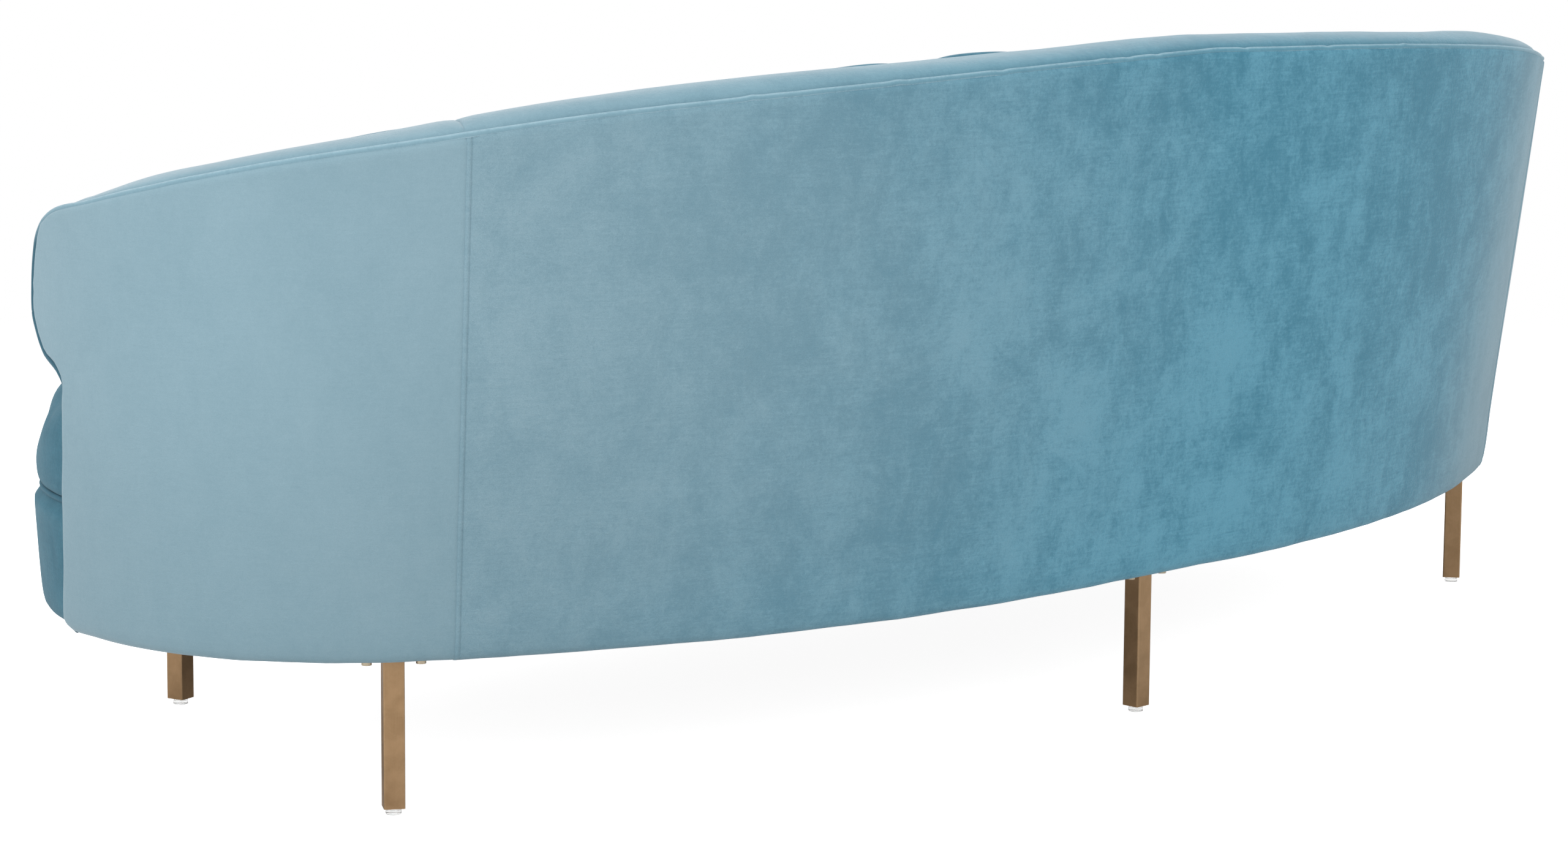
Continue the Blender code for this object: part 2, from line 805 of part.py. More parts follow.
def cross_bar(name, x, width, low, high, rear_inset, front_extra, material):
    """A straight bar from the rear rail to the front rail, with ends cut to their curves."""
    grids = []
    for z in (high, low):
        rear = [wall_point(s, z, rear_inset) for s in stations(0, panel_seam_run)]
        front = [front_point(q, z, front_extra) for q in front_runs(0)]
        columns = []
        for edge in (x - width / 2, x, x + width / 2):
            columns.append([(edge, line_y(rear, edge), z), (edge, line_y(front, edge), z)])
        grids.append(columns)
    return slab(name, grids[0], grids[1], material)


# Legs
tube_low = glide_height + glide_neck_height + fit_gap
plate_high = lower_edge_height + hem_thickness
plate_low = plate_high - plate_thickness
backing_low = board_high + fit_gap


def bolt_places():
    return [(a * bolt_spread, b * bolt_offset) for a in (-1, 1) for b in (-1, 1)]


def leg_places():
    """Name, plan place and turn of each leg, read from the wall and the front curve."""
    places = []
    for name, s, inset in (
        ("rear_centre", 0.0, rear_leg_inset),
        ("side_right", side_leg_run, side_leg_inset),
        ("side_left", -side_leg_run, side_leg_inset),
    ):
        place = wall_point(s, lower_edge_height, inset)
        turn = -wall_heading(s) * (-1.0 if s < 0 else 1.0)
        places.append((name, place, turn))
    heading = front_flat(front_leg_run, lower_edge_height, 0)[2]
    for name, side in (("front_right", 1.0), ("front_left", -1.0)):
        place = front_point(front_leg_run, lower_edge_height, front_leg_inset, side)
        places.append((name, place, -heading * side))
    return places


def leg_mesh():
    """Square tube with a threaded end, welded to a plate with four bolt holes."""
    bm = bmesh.new()
    size = (tube_size, tube_size, plate_low - tube_low)
    centre = (0, 0, (plate_low + tube_low) / 2)
    bmesh.ops.create_cube(bm, size=1.0, matrix=Matrix.Translation(centre) @ Matrix.Diagonal((*size, 1.0)))
    upright = [e for e in bm.edges if abs((e.verts[0].co - e.verts[1].co).z) > tube_size]
    bmesh.ops.bevel(
        bm, geom=upright, offset=tube_edge_radius, segments=2, profile=0.5, affect="EDGES"
    )
    tube = closed_mesh("tube", bm)
    plate = box_mesh(
        "plate", (plate_length, plate_depth, plate_thickness), (0, 0, (plate_low + plate_high) / 2)
    )
    hollow_low = tube_low + leg_end_thickness
    bore = tube_size - 2 * tube_wall
    hollow = box_mesh("hollow", (bore, bore, plate_low - hollow_low), (0, 0, (plate_low + hollow_low) / 2))
    steps = [("UNION", plate), ("DIFFERENCE", hollow)]
    thread = cylinder_mesh("thread", bolt_hole_radius, tube_low - cut_overrun, hollow_low + cut_overrun)
    steps.append(("DIFFERENCE", thread))
    for place in bolt_places():
        hole = cylinder_mesh(
            "hole", bolt_hole_radius, plate_low - cut_overrun, plate_high + cut_overrun, place
        )
        steps.append(("DIFFERENCE", hole))
    return combined("leg", tube, steps)


def bolt_set_mesh():
    """Threaded backing plate with the four bolts that hold the leg's plate to the board."""
    backing_high = backing_low + backing_thickness
    base = box_mesh(
        "backing", (plate_length, plate_depth, backing_thickness), (0, 0, (backing_low + backing_high) / 2)
    )
    steps = []
    head_high = plate_low - fit_gap
    head_low = head_high - bolt_head_height
    for place in bolt_places():
        shank = cylinder_mesh("shank", bolt_radius, head_high - bolt_head_height / 2, backing_high - fit_gap,
                              place)
        steps.append(("UNION", shank))
        steps.append(("UNION", cylinder_mesh("head", bolt_head_radius, head_low, head_high, place)))
    return combined("bolt_set", base, steps)


def glide_mesh():
    """Round levelling foot: pad, neck and threaded stem, turned about the leg's axis."""
    low = glide_height + glide_neck_height
    profile = [
        (glide_radius - glide_edge, 0.0),
        (glide_radius, glide_edge),
        (glide_radius, glide_height - glide_edge),
        (glide_radius - glide_edge, glide_height),
        (glide_neck_radius, glide_height),
        (glide_neck_radius, low),
        (bolt_radius, low),
        (bolt_radius, low + glide_stem_length),
    ]
    bm = bmesh.new()
    rings = []
    for radius, z in profile:
        ring = []
        for k in range(glide_sides):
            turn = 2 * math.pi * k / glide_sides
            ring.append(bm.verts.new((radius * math.cos(turn), radius * math.sin(turn), z)))
        rings.append(ring)
    for lower, upper in zip(rings, rings[1:]):
        for k in range(glide_sides):
            after = (k + 1) % glide_sides
            bm.faces.new((lower[k], lower[after], upper[after], upper[k]))
    bm.faces.new(rings[0])
    bm.faces.new(rings[-1])
    mesh = closed_mesh("glide", bm)
    mesh.shade_smooth()
    mesh.set_sharp_from_angle(angle=math.radians(35))
    return mesh


def place_legs(finishes):
    leg = leg_mesh()
    bolts = bolt_set_mesh()
    glide = glide_mesh()
    for name, place, turn in leg_places():
        for prefix, mesh, slot in (
            ("leg_", leg, "antique_brass"),
            ("leg_bolts_", bolts, "zinc_steel"),
            ("glide_", glide, "clear_plastic"),
        ):
            node = make_object(prefix + name, mesh.copy(), finishes[slot])
            node.location = (place.x, place.y, 0)
            node.rotation_euler = (0, 0, turn)


def bolt_cutters():
    """Bolt holes through a base board at every leg."""
    cutters = []
    for name, place, turn in leg_places():
        spin = Matrix.Rotation(turn, 3, "Z")
        for a, b in bolt_places():
            spot = spin @ Vector((a, b, 0))
            hole = cylinder_mesh(
                "hole", bolt_hole_radius, board_low - cut_overrun, board_high + cut_overrun,
                (place.x + spot.x, place.y + spot.y),
            )
            cutters.append((name, hole))
    return cutters


# Frame
def level(z):
    return lambda s: z


def base_boards(material):
    cutters = bolt_cutters()
    outer = panel_thickness + panel_slack
    reach = back_run - board_end_setback
    rear = ribbon(
        "rear_base_board", stations(-reach, reach),
        (level(board_low), level(board_high)), (outer, outer + board_width), material,
    )
    inset = band_thickness + fit_gap + fit_gap
    front = front_ribbon("front_base_board", 0, board_low, board_high, inset, inset + board_width, material)
    for board, names in ((rear, ("rear", "side")), (front, ("front",))):
        steps = [("DIFFERENCE", hole) for name, hole in cutters if name.startswith(names)]
        cut = combined(board.name, board.data, steps)
        board.data = cut


last_post_run = side_leg_run + last_post_share * (arm_post_run - side_leg_run)
post_runs = (first_post_run, second_post_run, last_post_run)


def posts(material):
    outer = panel_thickness + panel_slack
    for run in (*post_runs, arm_post_run):
        for side, word in ((1.0, "right"), (-1.0, "left")):
            edges = stations(side * (run - post_width / 2), side * (run + post_width / 2))
            if run == arm_post_run:
                name = "arm_front_post_" + word
            else:
                name = "back_post_" + str(post_runs.index(run) + 1) + "_" + word
            ribbon(
                name, edges,
                (level(board_high + fit_gap), lambda s: drop_height(s) - cap_depth - rail_drop - post_drop - top_rail_height),
                (outer, outer + post_depth), material, post_rows,
            )


def rails(material):
    post_face = panel_thickness + panel_slack + post_depth + fit_gap + fit_gap
    reach = arm_post_run + post_width / 2
    rail_top = lambda s: drop_height(s) - cap_depth - rail_drop
    rail_low = lambda s: rail_top(s) - top_rail_height
    ribbon(
        "top_rail", stations(-reach, reach), (rail_low, rail_top),
        (panel_thickness + panel_slack, post_face - fit_gap), material,
    )
    ribbon(
        "tack_rail", stations(-reach, reach), (level(tack_rail_low), level(tack_rail_high)),
        (post_face, pad_back_inset - fit_gap), material,
    )
    ribbon(
        "rear_web_rail", stations(-rear_web_rail_run, rear_web_rail_run),
        (level(board_high + fit_gap), level(web_rail_top)),
        (post_face, post_face + web_rail_depth), material,
    )
    low = board_high + fit_gap
    inner = front_web_rail_inset + web_rail_depth
    front_ribbon("front_web_rail", front_web_rail_start, low, web_rail_top, front_web_rail_inset, inner, material)
    skin = band_thickness + fit_gap
    front_ribbon("front_fascia", fit_gap, low, web_rail_top, skin, skin + fascia_thickness, material)
    rear_face = post_face + web_rail_depth + fit_gap
    for number, x in enumerate(cross_rail_places, 1):
        cross_bar(
            "cross_rail_" + str(number), x, cross_rail_width, low, cross_rail_top,
            rear_face, inner + fit_gap, material,
        )
    return post_face


def webbing(post_face, material):
    low = web_rail_top + fit_gap
    for number in range(web_count):
        x = (number - (web_count - 1) / 2) * web_pitch
        cross_bar(
            "seat_web_" + str(number + 1), x, web_width, low, low + web_thickness,
            post_face + web_hold, front_web_rail_inset + web_hold, material,
        )


def build():
    clear_scene()
    velvet = (0.225, 0.425, 0.500)
    finishes = {
        "velvet": finish("velvet", velvet, 0.85),
        "velvet_welt": finish("velvet_welt", velvet, 0.8),
        "foam": finish("foam", (0.86, 0.84, 0.74), 0.95),
        "plywood": finish("plywood", (0.70, 0.54, 0.36), 0.7),
        "webbing": finish("webbing", (0.10, 0.10, 0.11), 0.8),
        "cambric": finish("cambric", (0.03, 0.03, 0.032), 0.9),
        "antique_brass": finish("antique_brass", (0.40, 0.28, 0.16), 0.35, 1.0),
        "zinc_steel": finish("zinc_steel", (0.62, 0.60, 0.55), 0.35, 1.0),
        "clear_plastic": finish("clear_plastic", (0.85, 0.86, 0.86), 0.15, 0.0, 0.45),
    }
    velvet = finishes["velvet"]
    outside_back_panel(velvet)
    outside_arm_panel("outside_arm_panel_right", 1.0, velvet)
    outside_arm_panel("outside_arm_panel_left", -1.0, velvet)
    outer_welt(finishes["velvet_welt"])
    seam = panel_seam_run
    top_cap("top_cap_back", stations(-(seam - fit_gap), seam - fit_gap), velvet)
    top_cap("top_cap_arm_right", stations(seam + fit_gap, cap_end_run), velvet)
    top_cap("top_cap_arm_left", stations(-(seam + fit_gap), -cap_end_run), velvet)
    inside_back_pad(velvet)
    inside_arm_pad("inside_arm_pad_right", 1.0, velvet)
    inside_arm_pad("inside_arm_pad_left", -1.0, velvet)
    seat_cushion(velvet)
    seat_welt(finishes["velvet_welt"])
    front_band(velvet)
    base_boards(finishes["plywood"])
    posts(finishes["plywood"])
    post_face = rails(finishes["plywood"])
    webbing(post_face, finishes["webbing"])
    flat_piece(
        "seat_deck_pad", post_face + web_hold, front_web_rail_inset - board_thickness, deck_low, deck_high,
        back_run - cover_end_setback, front_web_rail_start, finishes["foam"],
    )
    cover_high = board_low - fit_gap
    flat_piece(
        "dust_cover", cover_inset, cover_inset, cover_high - cover_thickness, cover_high,
        back_run - cover_end_setback, cover_end_setback, finishes["cambric"],
    )
    place_legs(finishes)


build()
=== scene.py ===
"""Curved tub sofa in teal velvet: the dressed pieces, their finishes, the camera and the light."""
import json
import math

import bpy
from mathutils import Matrix, Vector, noise


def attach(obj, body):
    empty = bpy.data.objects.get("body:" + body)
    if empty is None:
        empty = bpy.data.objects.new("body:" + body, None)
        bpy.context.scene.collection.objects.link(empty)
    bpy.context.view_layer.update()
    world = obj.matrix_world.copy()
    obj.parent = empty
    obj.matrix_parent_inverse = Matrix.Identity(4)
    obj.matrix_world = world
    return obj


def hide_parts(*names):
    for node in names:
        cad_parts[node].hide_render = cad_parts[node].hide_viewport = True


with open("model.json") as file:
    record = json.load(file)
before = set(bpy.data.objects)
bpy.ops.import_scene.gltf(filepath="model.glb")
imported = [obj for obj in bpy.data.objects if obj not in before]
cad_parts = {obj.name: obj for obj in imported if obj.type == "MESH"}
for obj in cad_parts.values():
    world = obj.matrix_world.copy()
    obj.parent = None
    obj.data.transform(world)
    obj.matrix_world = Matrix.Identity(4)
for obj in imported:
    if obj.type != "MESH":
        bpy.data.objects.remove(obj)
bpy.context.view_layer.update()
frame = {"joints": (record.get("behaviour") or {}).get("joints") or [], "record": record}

# Outside wall, as the part's source has it
back_run = 1.403
turn_stations = (0.0, 0.2, 0.4, 0.6, 0.8, 1.0)
turn_rates = (-0.2, 0.89, 0.92, 0.83, 4.94, 1.89)
lean_stations = (0.0, 0.5, 1.0)
leans = (0.102, 0.134, 0.065)
lower_edge = 0.164
back_height = 0.7504
arm_height = 0.6157
drop_stations = (0.0, 0.2, 0.4, 0.6, 0.8, 1.0)
drops = (0.0, 0.045, 0.133, 0.277, 0.55, 1.0)
nose_reach = 0.065
nose_runs = (-0.05, -0.33, -0.58, -0.47, -0.05, 0.16, 0.27, 0.20, -0.01, -0.31, -0.80, -1.62)
nose_rises = (0.0, 0.3, 0.575, 0.60, 0.635, 0.68, 0.73, 0.80, 0.89, 0.94, 0.975, 1.0)
seam_run = 0.921
seam_width = 0.0047
plan_shift = 0.41468
welt_radius = 0.0035

# Front curve
front_inset = 0.0085
front_toe_in = math.radians(3.7)
corner_radius = 0.333
corner_heading = math.radians(162)
bow_radius = 1.2
front_lean = 0.065

# Border, pads and seat
cap_inner = 0.0782
pad_inner = 0.0785
pad_depth = 0.145
pad_stations = (0.0, 0.25, 0.55, 0.85, 1.0)
pad_depths = (0.80, 0.93, 0.78, 0.40, 0.05)
seat_line = 0.405
seat_top = 0.428
seat_low = 0.300
wrap_run = 1.2585
seat_welt_height = 0.2962
seat_welt_inset = 0.0068

# Legs and cloth
side_leg_run = 0.980
front_leg_run = 0.423
velvet_thickness = 0.0022
border_thickness = 0.0025
strip_thickness = 0.0020
cover_thickness = 0.0006


class Curve:
    """A smooth curve through values at rising stations, with no overshoot."""

    def __init__(self, stations, values):
        self.x = list(stations)
        self.y = list(values)
        h = [b - a for a, b in zip(self.x, self.x[1:])]
        d = [(b - a) / w for a, b, w in zip(self.y, self.y[1:], h)]
        m = [d[0]] + [0.0] * (len(d) - 1) + [d[-1]]
        for i in range(1, len(d)):
            if d[i - 1] * d[i] > 0:
                w1 = 2 * h[i] + h[i - 1]
                w2 = h[i] + 2 * h[i - 1]
                m[i] = (w1 + w2) / (w1 / d[i - 1] + w2 / d[i])
        self.h = h
        self.m = m

    def __call__(self, at):
        at = min(max(at, self.x[0]), self.x[-1])
        i = 0
        while i < len(self.h) - 1 and at > self.x[i + 1]:
            i += 1
        t = (at - self.x[i]) / self.h[i]
        h = self.h[i]
        rising = self.y[i] * (1 + 2 * t) * (1 - t) ** 2 + self.m[i] * h * t * (1 - t) ** 2
        return rising + self.y[i + 1] * t * t * (3 - 2 * t) + self.m[i + 1] * h * t * t * (t - 1)


turn_curve = Curve(turn_stations, turn_rates)
lean_curve = Curve(lean_stations, leans)
drop_curve = Curve(drop_stations, drops)
nose_curve = Curve(nose_rises, nose_runs)
pad_curve = Curve(pad_stations, pad_depths)
arm_top_run = back_run + nose_reach * nose_runs[-1]

plan_step = 0.001
plan = [(0.0, 0.0, 0.0)]
while len(plan) * plan_step < back_run + 2 * nose_reach:
    x, y, heading = plan[-1]
    run = (len(plan) - 0.5) * plan_step
    turned = heading + turn_curve(run / back_run) / back_run * plan_step
    middle = (heading + turned) / 2
    plan.append((x + math.cos(middle) * plan_step, y - math.sin(middle) * plan_step, turned))


def ease(a, b, value):
    t = min(max((value - a) / (b - a), 0.0), 1.0)
    return t * t * (3 - 2 * t)


def plan_at(run):
    k = min(int(run / plan_step), len(plan) - 2)
    t = run / plan_step - k
    return tuple(a + (b - a) * t for a, b in zip(plan[k], plan[k + 1]))


def wall(run, height, inset=0.0):
    """A place on the outside wall: run along it from the middle of the back, height and inset."""
    x, y, heading = plan_at(abs(run))
    out = lean_curve(abs(run) / back_run) * (height - lower_edge) - inset
    side = -1.0 if run < 0 else 1.0
    return Vector((side * (x + math.sin(heading) * out), y + math.cos(heading) * out + plan_shift, height))


start_x, start_y, start_heading = plan_at(back_run)
start_x -= math.sin(start_heading) * front_inset
start_y -= math.cos(start_heading) * front_inset
front_heading = start_heading + front_toe_in
corner_run = corner_radius * (corner_heading - front_heading)
bow_run = bow_radius * (math.pi - corner_heading)
corner_x = start_x + corner_radius * (math.sin(corner_heading) - math.sin(front_heading))
corner_y = start_y + corner_radius * (math.cos(corner_heading) - math.cos(front_heading))
bow_x = corner_x - bow_radius * math.sin(corner_heading)
bow_y = corner_y + bow_radius * (-1.0 - math.cos(corner_heading))
front_run = corner_run + bow_run + bow_x


def front_plan(run):
    """Plan place and heading of the front line, run from the arm's front edge towards the middle."""
    if run < 0:
        x, y, heading = plan_at(back_run + run)
        x -= math.sin(heading) * front_inset
        y -= math.cos(heading) * front_inset
    elif run < corner_run:
        heading = front_heading + run / corner_radius
        x = start_x + corner_radius * (math.sin(heading) - math.sin(front_heading))
        y = start_y + corner_radius * (math.cos(heading) - math.cos(front_heading))
    elif run < corner_run + bow_run:
        heading = corner_heading + (run - corner_run) / bow_radius
        x = corner_x + bow_radius * (math.sin(heading) - math.sin(corner_heading))
        y = corner_y + bow_radius * (math.cos(heading) - math.cos(corner_heading))
    else:
        heading = math.pi
        x = bow_x - (run - corner_run - bow_run)
        y = bow_y
    return x, y, heading


def front(run, height, inset=0.0):
    """A place on the front of the seat base."""
    x, y, heading = front_plan(run)
    out = front_lean * (height - lower_edge) - inset
    return Vector((x + math.sin(heading) * out, y + math.cos(heading) * out + plan_shift, height))


def top_edge(run):
    return back_height - (back_height - arm_height) * drop_curve(abs(run) / arm_top_run)


arm_rise = arm_height - lower_edge


def nose_run(height):
    """How far the arm's front edge reaches at a height."""
    return back_run + nose_reach * nose_curve((height - lower_edge) / arm_rise)


def spread(first, last, count):
    return [first + (last - first) * k / (count - 1) for k in range(count)]


nose_corner = [(nose_run(height), height) for height in spread(lower_edge + 0.9 * arm_rise, arm_height, 41)]


def edge_height(run):
    """Height of the top edge, on round the corner of the arm."""
    if abs(run) <= arm_top_run:
        return top_edge(run)
    for (a, low), (b, high) in zip(nose_corner, nose_corner[1:]):
        if b <= abs(run) <= a:
            return low + (high - low) * (a - abs(run)) / (a - b)
    return nose_corner[0][1]


def between(a, b, share):
    return a[0] + (b[0] - a[0]) * share, a[1] + (b[1] - a[1]) * share


def soft_noise(x, y, seed):
    return noise.noise(Vector((x, y, seed)))


# Working with pieces
def start_fresh():
    if bpy.context.object and bpy.context.object.mode != "OBJECT":
        bpy.ops.object.mode_set(mode="OBJECT")
    bpy.ops.object.select_all(action="DESELECT")


def take(piece):
    start_fresh()
    piece.select_set(True)
    bpy.context.view_layer.objects.active = piece


def cut_cloth(name, across, down, place):
    """A flat grid of cloth, laid over the frame column by column and row by row."""
    start_fresh()
    columns = len(across) - 1
    rows = len(down) - 1
    bpy.ops.mesh.primitive_grid_add(x_subdivisions=columns, y_subdivisions=rows, size=1.0)
    piece = bpy.context.object
    piece.name = name
    piece.data.name = name
    for point in piece.data.vertices:
        i = round((point.co.x + 0.5) * columns)
        j = round((point.co.y + 0.5) * rows)
        point.co = place(across[i], down[j])
    return piece


def apply_all(piece):
    take(piece)
    for change in list(piece.modifiers):
        bpy.ops.object.modifier_apply(modifier=change.name)


def edit(choice):
    """Edit mode, with everything or nothing selected."""
    bpy.ops.object.mode_set(mode="EDIT")
    bpy.ops.mesh.select_all(action=choice)


def leave_edit():
    bpy.ops.object.mode_set(mode="OBJECT")


def edit_chosen(piece, kind, wanted):
    """Edit mode, with only the faces or edges selected that a rule names."""
    edit("DESELECT")
    leave_edit()
    for element in getattr(piece.data, kind):
        element.select = wanted(element)
    bpy.ops.object.mode_set(mode="EDIT")


def face_outwards(piece):
    take(piece)
    edit("SELECT")
    bpy.ops.mesh.remove_doubles(threshold=0.00002)
    bpy.ops.mesh.normals_make_consistent(inside=False)
    leave_edit()


def soften_edges(piece, width, segments):
    soften = piece.modifiers.new("edge", "BEVEL")
    soften.width = width
    soften.segments = segments
    soften.limit_method = "ANGLE"
    apply_all(piece)


def make_finer(piece):
    finer = piece.modifiers.new("finer", "SUBSURF")
    finer.levels = 1
    finer.render_levels = 1
    apply_all(piece)


def join(parts):
    start_fresh()
    for part in parts:
        part.select_set(True)
    bpy.context.view_layer.objects.active = parts[0]
    bpy.ops.object.join()


def repeat_at(model, places):
    """The model at its first place and copies at the others, each with its own mesh, joined."""
    made = [model]
    for k in range(1, len(places)):
        one = model.copy()
        one.data = model.data.copy()
        bpy.context.collection.objects.link(one)
        made.append(one)
    for one, place in zip(made, places):
        one.data.transform(place)
    join(made)


def give_thickness(piece, thickness, flip):
    """Cloth gets its thickness on the inner side."""
    take(piece)
    if flip:
        edit("SELECT")
        bpy.ops.mesh.flip_normals()
        leave_edit()
    thicken = piece.modifiers.new("cloth thickness", "SOLIDIFY")
    thicken.thickness = thickness
    thicken.offset = -1.0
    apply_all(piece)
    bpy.ops.object.shade_smooth()


def blow_out(piece, held, most, **fabric):
    """What isn't held is blown out by a cloth simulation, and no point moves further than most."""
    start = [point.co.copy() for point in piece.data.vertices]
    piece.vertex_groups.new(name="held").add(held, 1.0, "REPLACE")
    cloth = piece.modifiers.new("cloth", "CLOTH")
    cloth.settings.quality = 5
    cloth.settings.use_pressure = True
    cloth.settings.vertex_group_mass = "held"
    cloth.settings.effector_weights.gravity = 0.0
    cloth.collision_settings.use_collision = False
    for name, value in fabric.items():
        setattr(cloth.settings, name, value)
    for step in range(1, 21):
        bpy.context.scene.frame_set(step)
    apply_all(piece)
    bpy.context.scene.frame_set(1)
    for point, before in zip(piece.data.vertices, start):
        move = point.co - before
        if move.length > most:
            point.co = before + move * (most / move.length)
    piece.vertex_groups.clear()


def finish_with(piece, material, body="sofa"):
    piece.data.materials.clear()
    piece.data.materials.append(material)
    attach(piece, body)


# Materials
class Maker:
    """Adds nodes to one material and links them."""

    def __init__(self, name):
        self.material = bpy.data.materials.new(name)
        self.material.use_nodes = True
        self.tree = self.material.node_tree
        self.shader = self.tree.nodes["Principled BSDF"]
        self.place = self.add("ShaderNodeTexCoord").outputs["Object"]

    def add(self, kind, **settings):
        node = self.tree.nodes.new(kind)
        for key, value in settings.items():
            setattr(node, key, value)
        return node

    def put(self, node, name, value):
        """Sets or links one input, by its name or its number."""
        socket = node.inputs[name]
        if isinstance(value, bpy.types.NodeSocket):
            self.tree.links.new(value, socket)
        else:
            socket.default_value = value

    def fed(self, kind, inputs, **settings):
        """A new node with its inputs set or linked."""
        node = self.add(kind, **settings)
        for name, value in inputs.items():
            self.put(node, name, value)
        return node

    def stretched(self, scale, turn=(0.0, 0.0, 0.0)):
        mapping = self.fed("ShaderNodeMapping", {"Vector": self.place, "Scale": scale, "Rotation": turn})
        return mapping.outputs["Vector"]

    def clouds(self, scale, detail=4.0, rough=0.55, distortion=0.0, vector=None):
        inputs = {
            "Vector": vector or self.place, "Scale": scale, "Detail": detail, "Roughness": rough,
            "Distortion": distortion,
        }
        return self.fed("ShaderNodeTexNoise", inputs).outputs["Fac"]

    def ramp(self, value, low, high, to_low=0.0, to_high=1.0):
        inputs = {"Value": value, "From Min": low, "From Max": high, "To Min": to_low, "To Max": to_high}
        return self.fed("ShaderNodeMapRange", inputs, interpolation_type="SMOOTHSTEP").outputs["Result"]

    def reckon(self, operation, a, b):
        return self.fed("ShaderNodeMath", {0: a, 1: b}, operation=operation).outputs["Value"]

    def plus(self, a, b):
        return self.reckon("ADD", a, b)

    def times(self, a, b):
        return self.reckon("MULTIPLY", a, b)

    def mix(self, amount, a, b, how="MIX"):
        inputs = {"Factor": amount}
        for index, value in ((6, a), (7, b)):
            inputs[index] = value if isinstance(value, bpy.types.NodeSocket) else (*value, 1.0)
        return self.fed("ShaderNodeMix", inputs, data_type="RGBA", blend_type=how).outputs[2]

    def grey(self, value):
        inputs = {"Red": value, "Green": value, "Blue": value}
        return self.fed("ShaderNodeCombineColor", inputs).outputs["Color"]

    def bump(self, height, distance, strength=1.0, after=None):
        inputs = {"Height": height, "Distance": distance, "Strength": strength}
        if after:
            inputs["Normal"] = after
        return self.fed("ShaderNodeBump", inputs).outputs["Normal"]

    def set(self, **values):
        for name, value in values.items():
            self.put(self.shader, name.replace("_", " "), value)


def painted_side_light(m, shade, nap, marks, half_range, lifted):
    """Painted light: the colour is painted paler towards both arms, most of all towards the right one, where
    the light comes from, and a little darker low down; lifted sets how much.
    """
    split = m.fed("ShaderNodeSeparateXYZ", {0: m.place})
    sideways = split.outputs["X"]
    height = split.outputs["Z"]
    wander = m.times(m.reckon("SUBTRACT", marks, 0.5), 0.30)
    level = m.reckon("SUBTRACT", height, 0.47)
    near = m.reckon("SUBTRACT", sideways, m.times(m.times(level, level), 1.6))
    near = m.ramp(m.plus(near, wander), -0.22, 0.95, 0.0, lifted)
    far = m.plus(m.times(sideways, -1.0), m.times(level, -0.25))
    far = m.ramp(m.plus(far, m.times(wander, 0.4)), 0.56, 0.90, 0.0, 0.80 * lifted)
    least = 0.5 - 1.5 * half_range
    most = 0.5 + 1.5 * half_range
    # painted shade: the painted pale side is a little darker towards the bottom
    low = m.ramp(height, 0.12, 0.55, 0.86, 1.0)
    high = m.ramp(nap, least, most, 0.95, 1.05)
    kept = m.ramp(nap, least, most, 0.84, 1.0)
    painted_light_colour = m.mix(1.0, (0.243, 0.362, 0.420), m.grey(m.times(low, high)), "MULTIPLY")
    return m.mix(m.times(m.reckon("MAXIMUM", near, far), kept), shade, painted_light_colour)


def painted_welt_light(m, shade, fuzz):
    """Painted light on a cord: painted highlights along its two rims, broken up by the pile, and painted
    shade on its lower run down the arm's front edge.
    """
    rim = m.add("ShaderNodeAttribute", attribute_name="rim")
    bright_edge_share = m.ramp(fuzz, 0.80, 1.10, 0.35, 1.0)
    # painted highlight along the cord's rims
    shade = m.mix(m.times(rim.outputs["Fac"], bright_edge_share), shade, (0.46, 0.64, 0.72))
    turned = m.add("ShaderNodeAttribute", attribute_name="turned")
    # painted shade on the cord's run down the arm's front edge
    return m.mix(turned.outputs["Fac"], shade, (0.024, 0.100, 0.146))


def velvet(name, deep, pale, mottle=1.0, patch=1.0, sheen=0.5, lifted=0.0, shaded=False):
    """Cut pile brushed this way and that: soft clouds, hand marks, slanting strokes and a fine grain."""
    m = Maker(name)
    clouds = m.clouds(3.4 * patch, 3.0, 0.5, 0.6)
    marks = m.clouds(13.0 * patch, 8.0, 0.80, 0.5)
    strokes = m.clouds(24.0, 7.0, 0.78, 0.3, m.stretched((1.0, 1.0, 0.5), (0.0, 0.5, 0.35)))
    specks = m.clouds(230.0, 4.0, 0.80, 0.2)
    threads = m.clouds(64.0, 4.0, 0.75, 0.2, m.stretched((0.5, 0.5, 5.5), (0.04, 0.0, 0.0)))
    nap = m.times(clouds, 0.20)
    for layer, share in ((marks, 0.27), (strokes, 0.23), (specks, 0.17), (threads, 0.13)):
        nap = m.plus(nap, m.times(layer, share))
    half_range = 0.085 / mottle
    shade = m.mix(m.ramp(nap, 0.5 - half_range, 0.5 + half_range), deep, pale)
    # painted light: where lifted is set, the colour is painted paler towards the arms
    if lifted:
        shade = painted_side_light(m, shade, nap, marks, half_range, lifted)
    # painted highlights on the cord's rims and painted shade on its run down the arm's front
    if shaded:
        shade = painted_welt_light(m, shade, m.plus(specks, strokes))
    grain = m.clouds(1300.0, 2.0, 0.7)
    dark = tuple(c * 0.55 for c in deep)
    shade = m.mix(m.ramp(grain, 0.32, 0.68, 0.0, 0.18 * mottle), shade, dark)
    m.set(Base_Color=shade, Roughness=0.72, Sheen_Weight=sheen, Sheen_Roughness=0.40)
    m.set(Sheen_Tint=(0.90, 0.96, 1.0, 1.0), Specular_IOR_Level=0.25)
    m.set(Normal=m.bump(grain, 0.0005, 0.40, m.bump(nap, 0.006, 0.45 * mottle)))
    return m.material


def thread(name, colour):
    m = Maker(name)
    twist = m.clouds(2600.0, 2.0, 0.6, 0.0, m.stretched((1.0, 1.0, 3.0)))
    m.set(Base_Color=m.mix(m.ramp(twist, 0.3, 0.7), colour, tuple(c * 1.7 for c in colour)))
    m.set(Roughness=0.7, Normal=m.bump(twist, 0.0002))
    return m.material


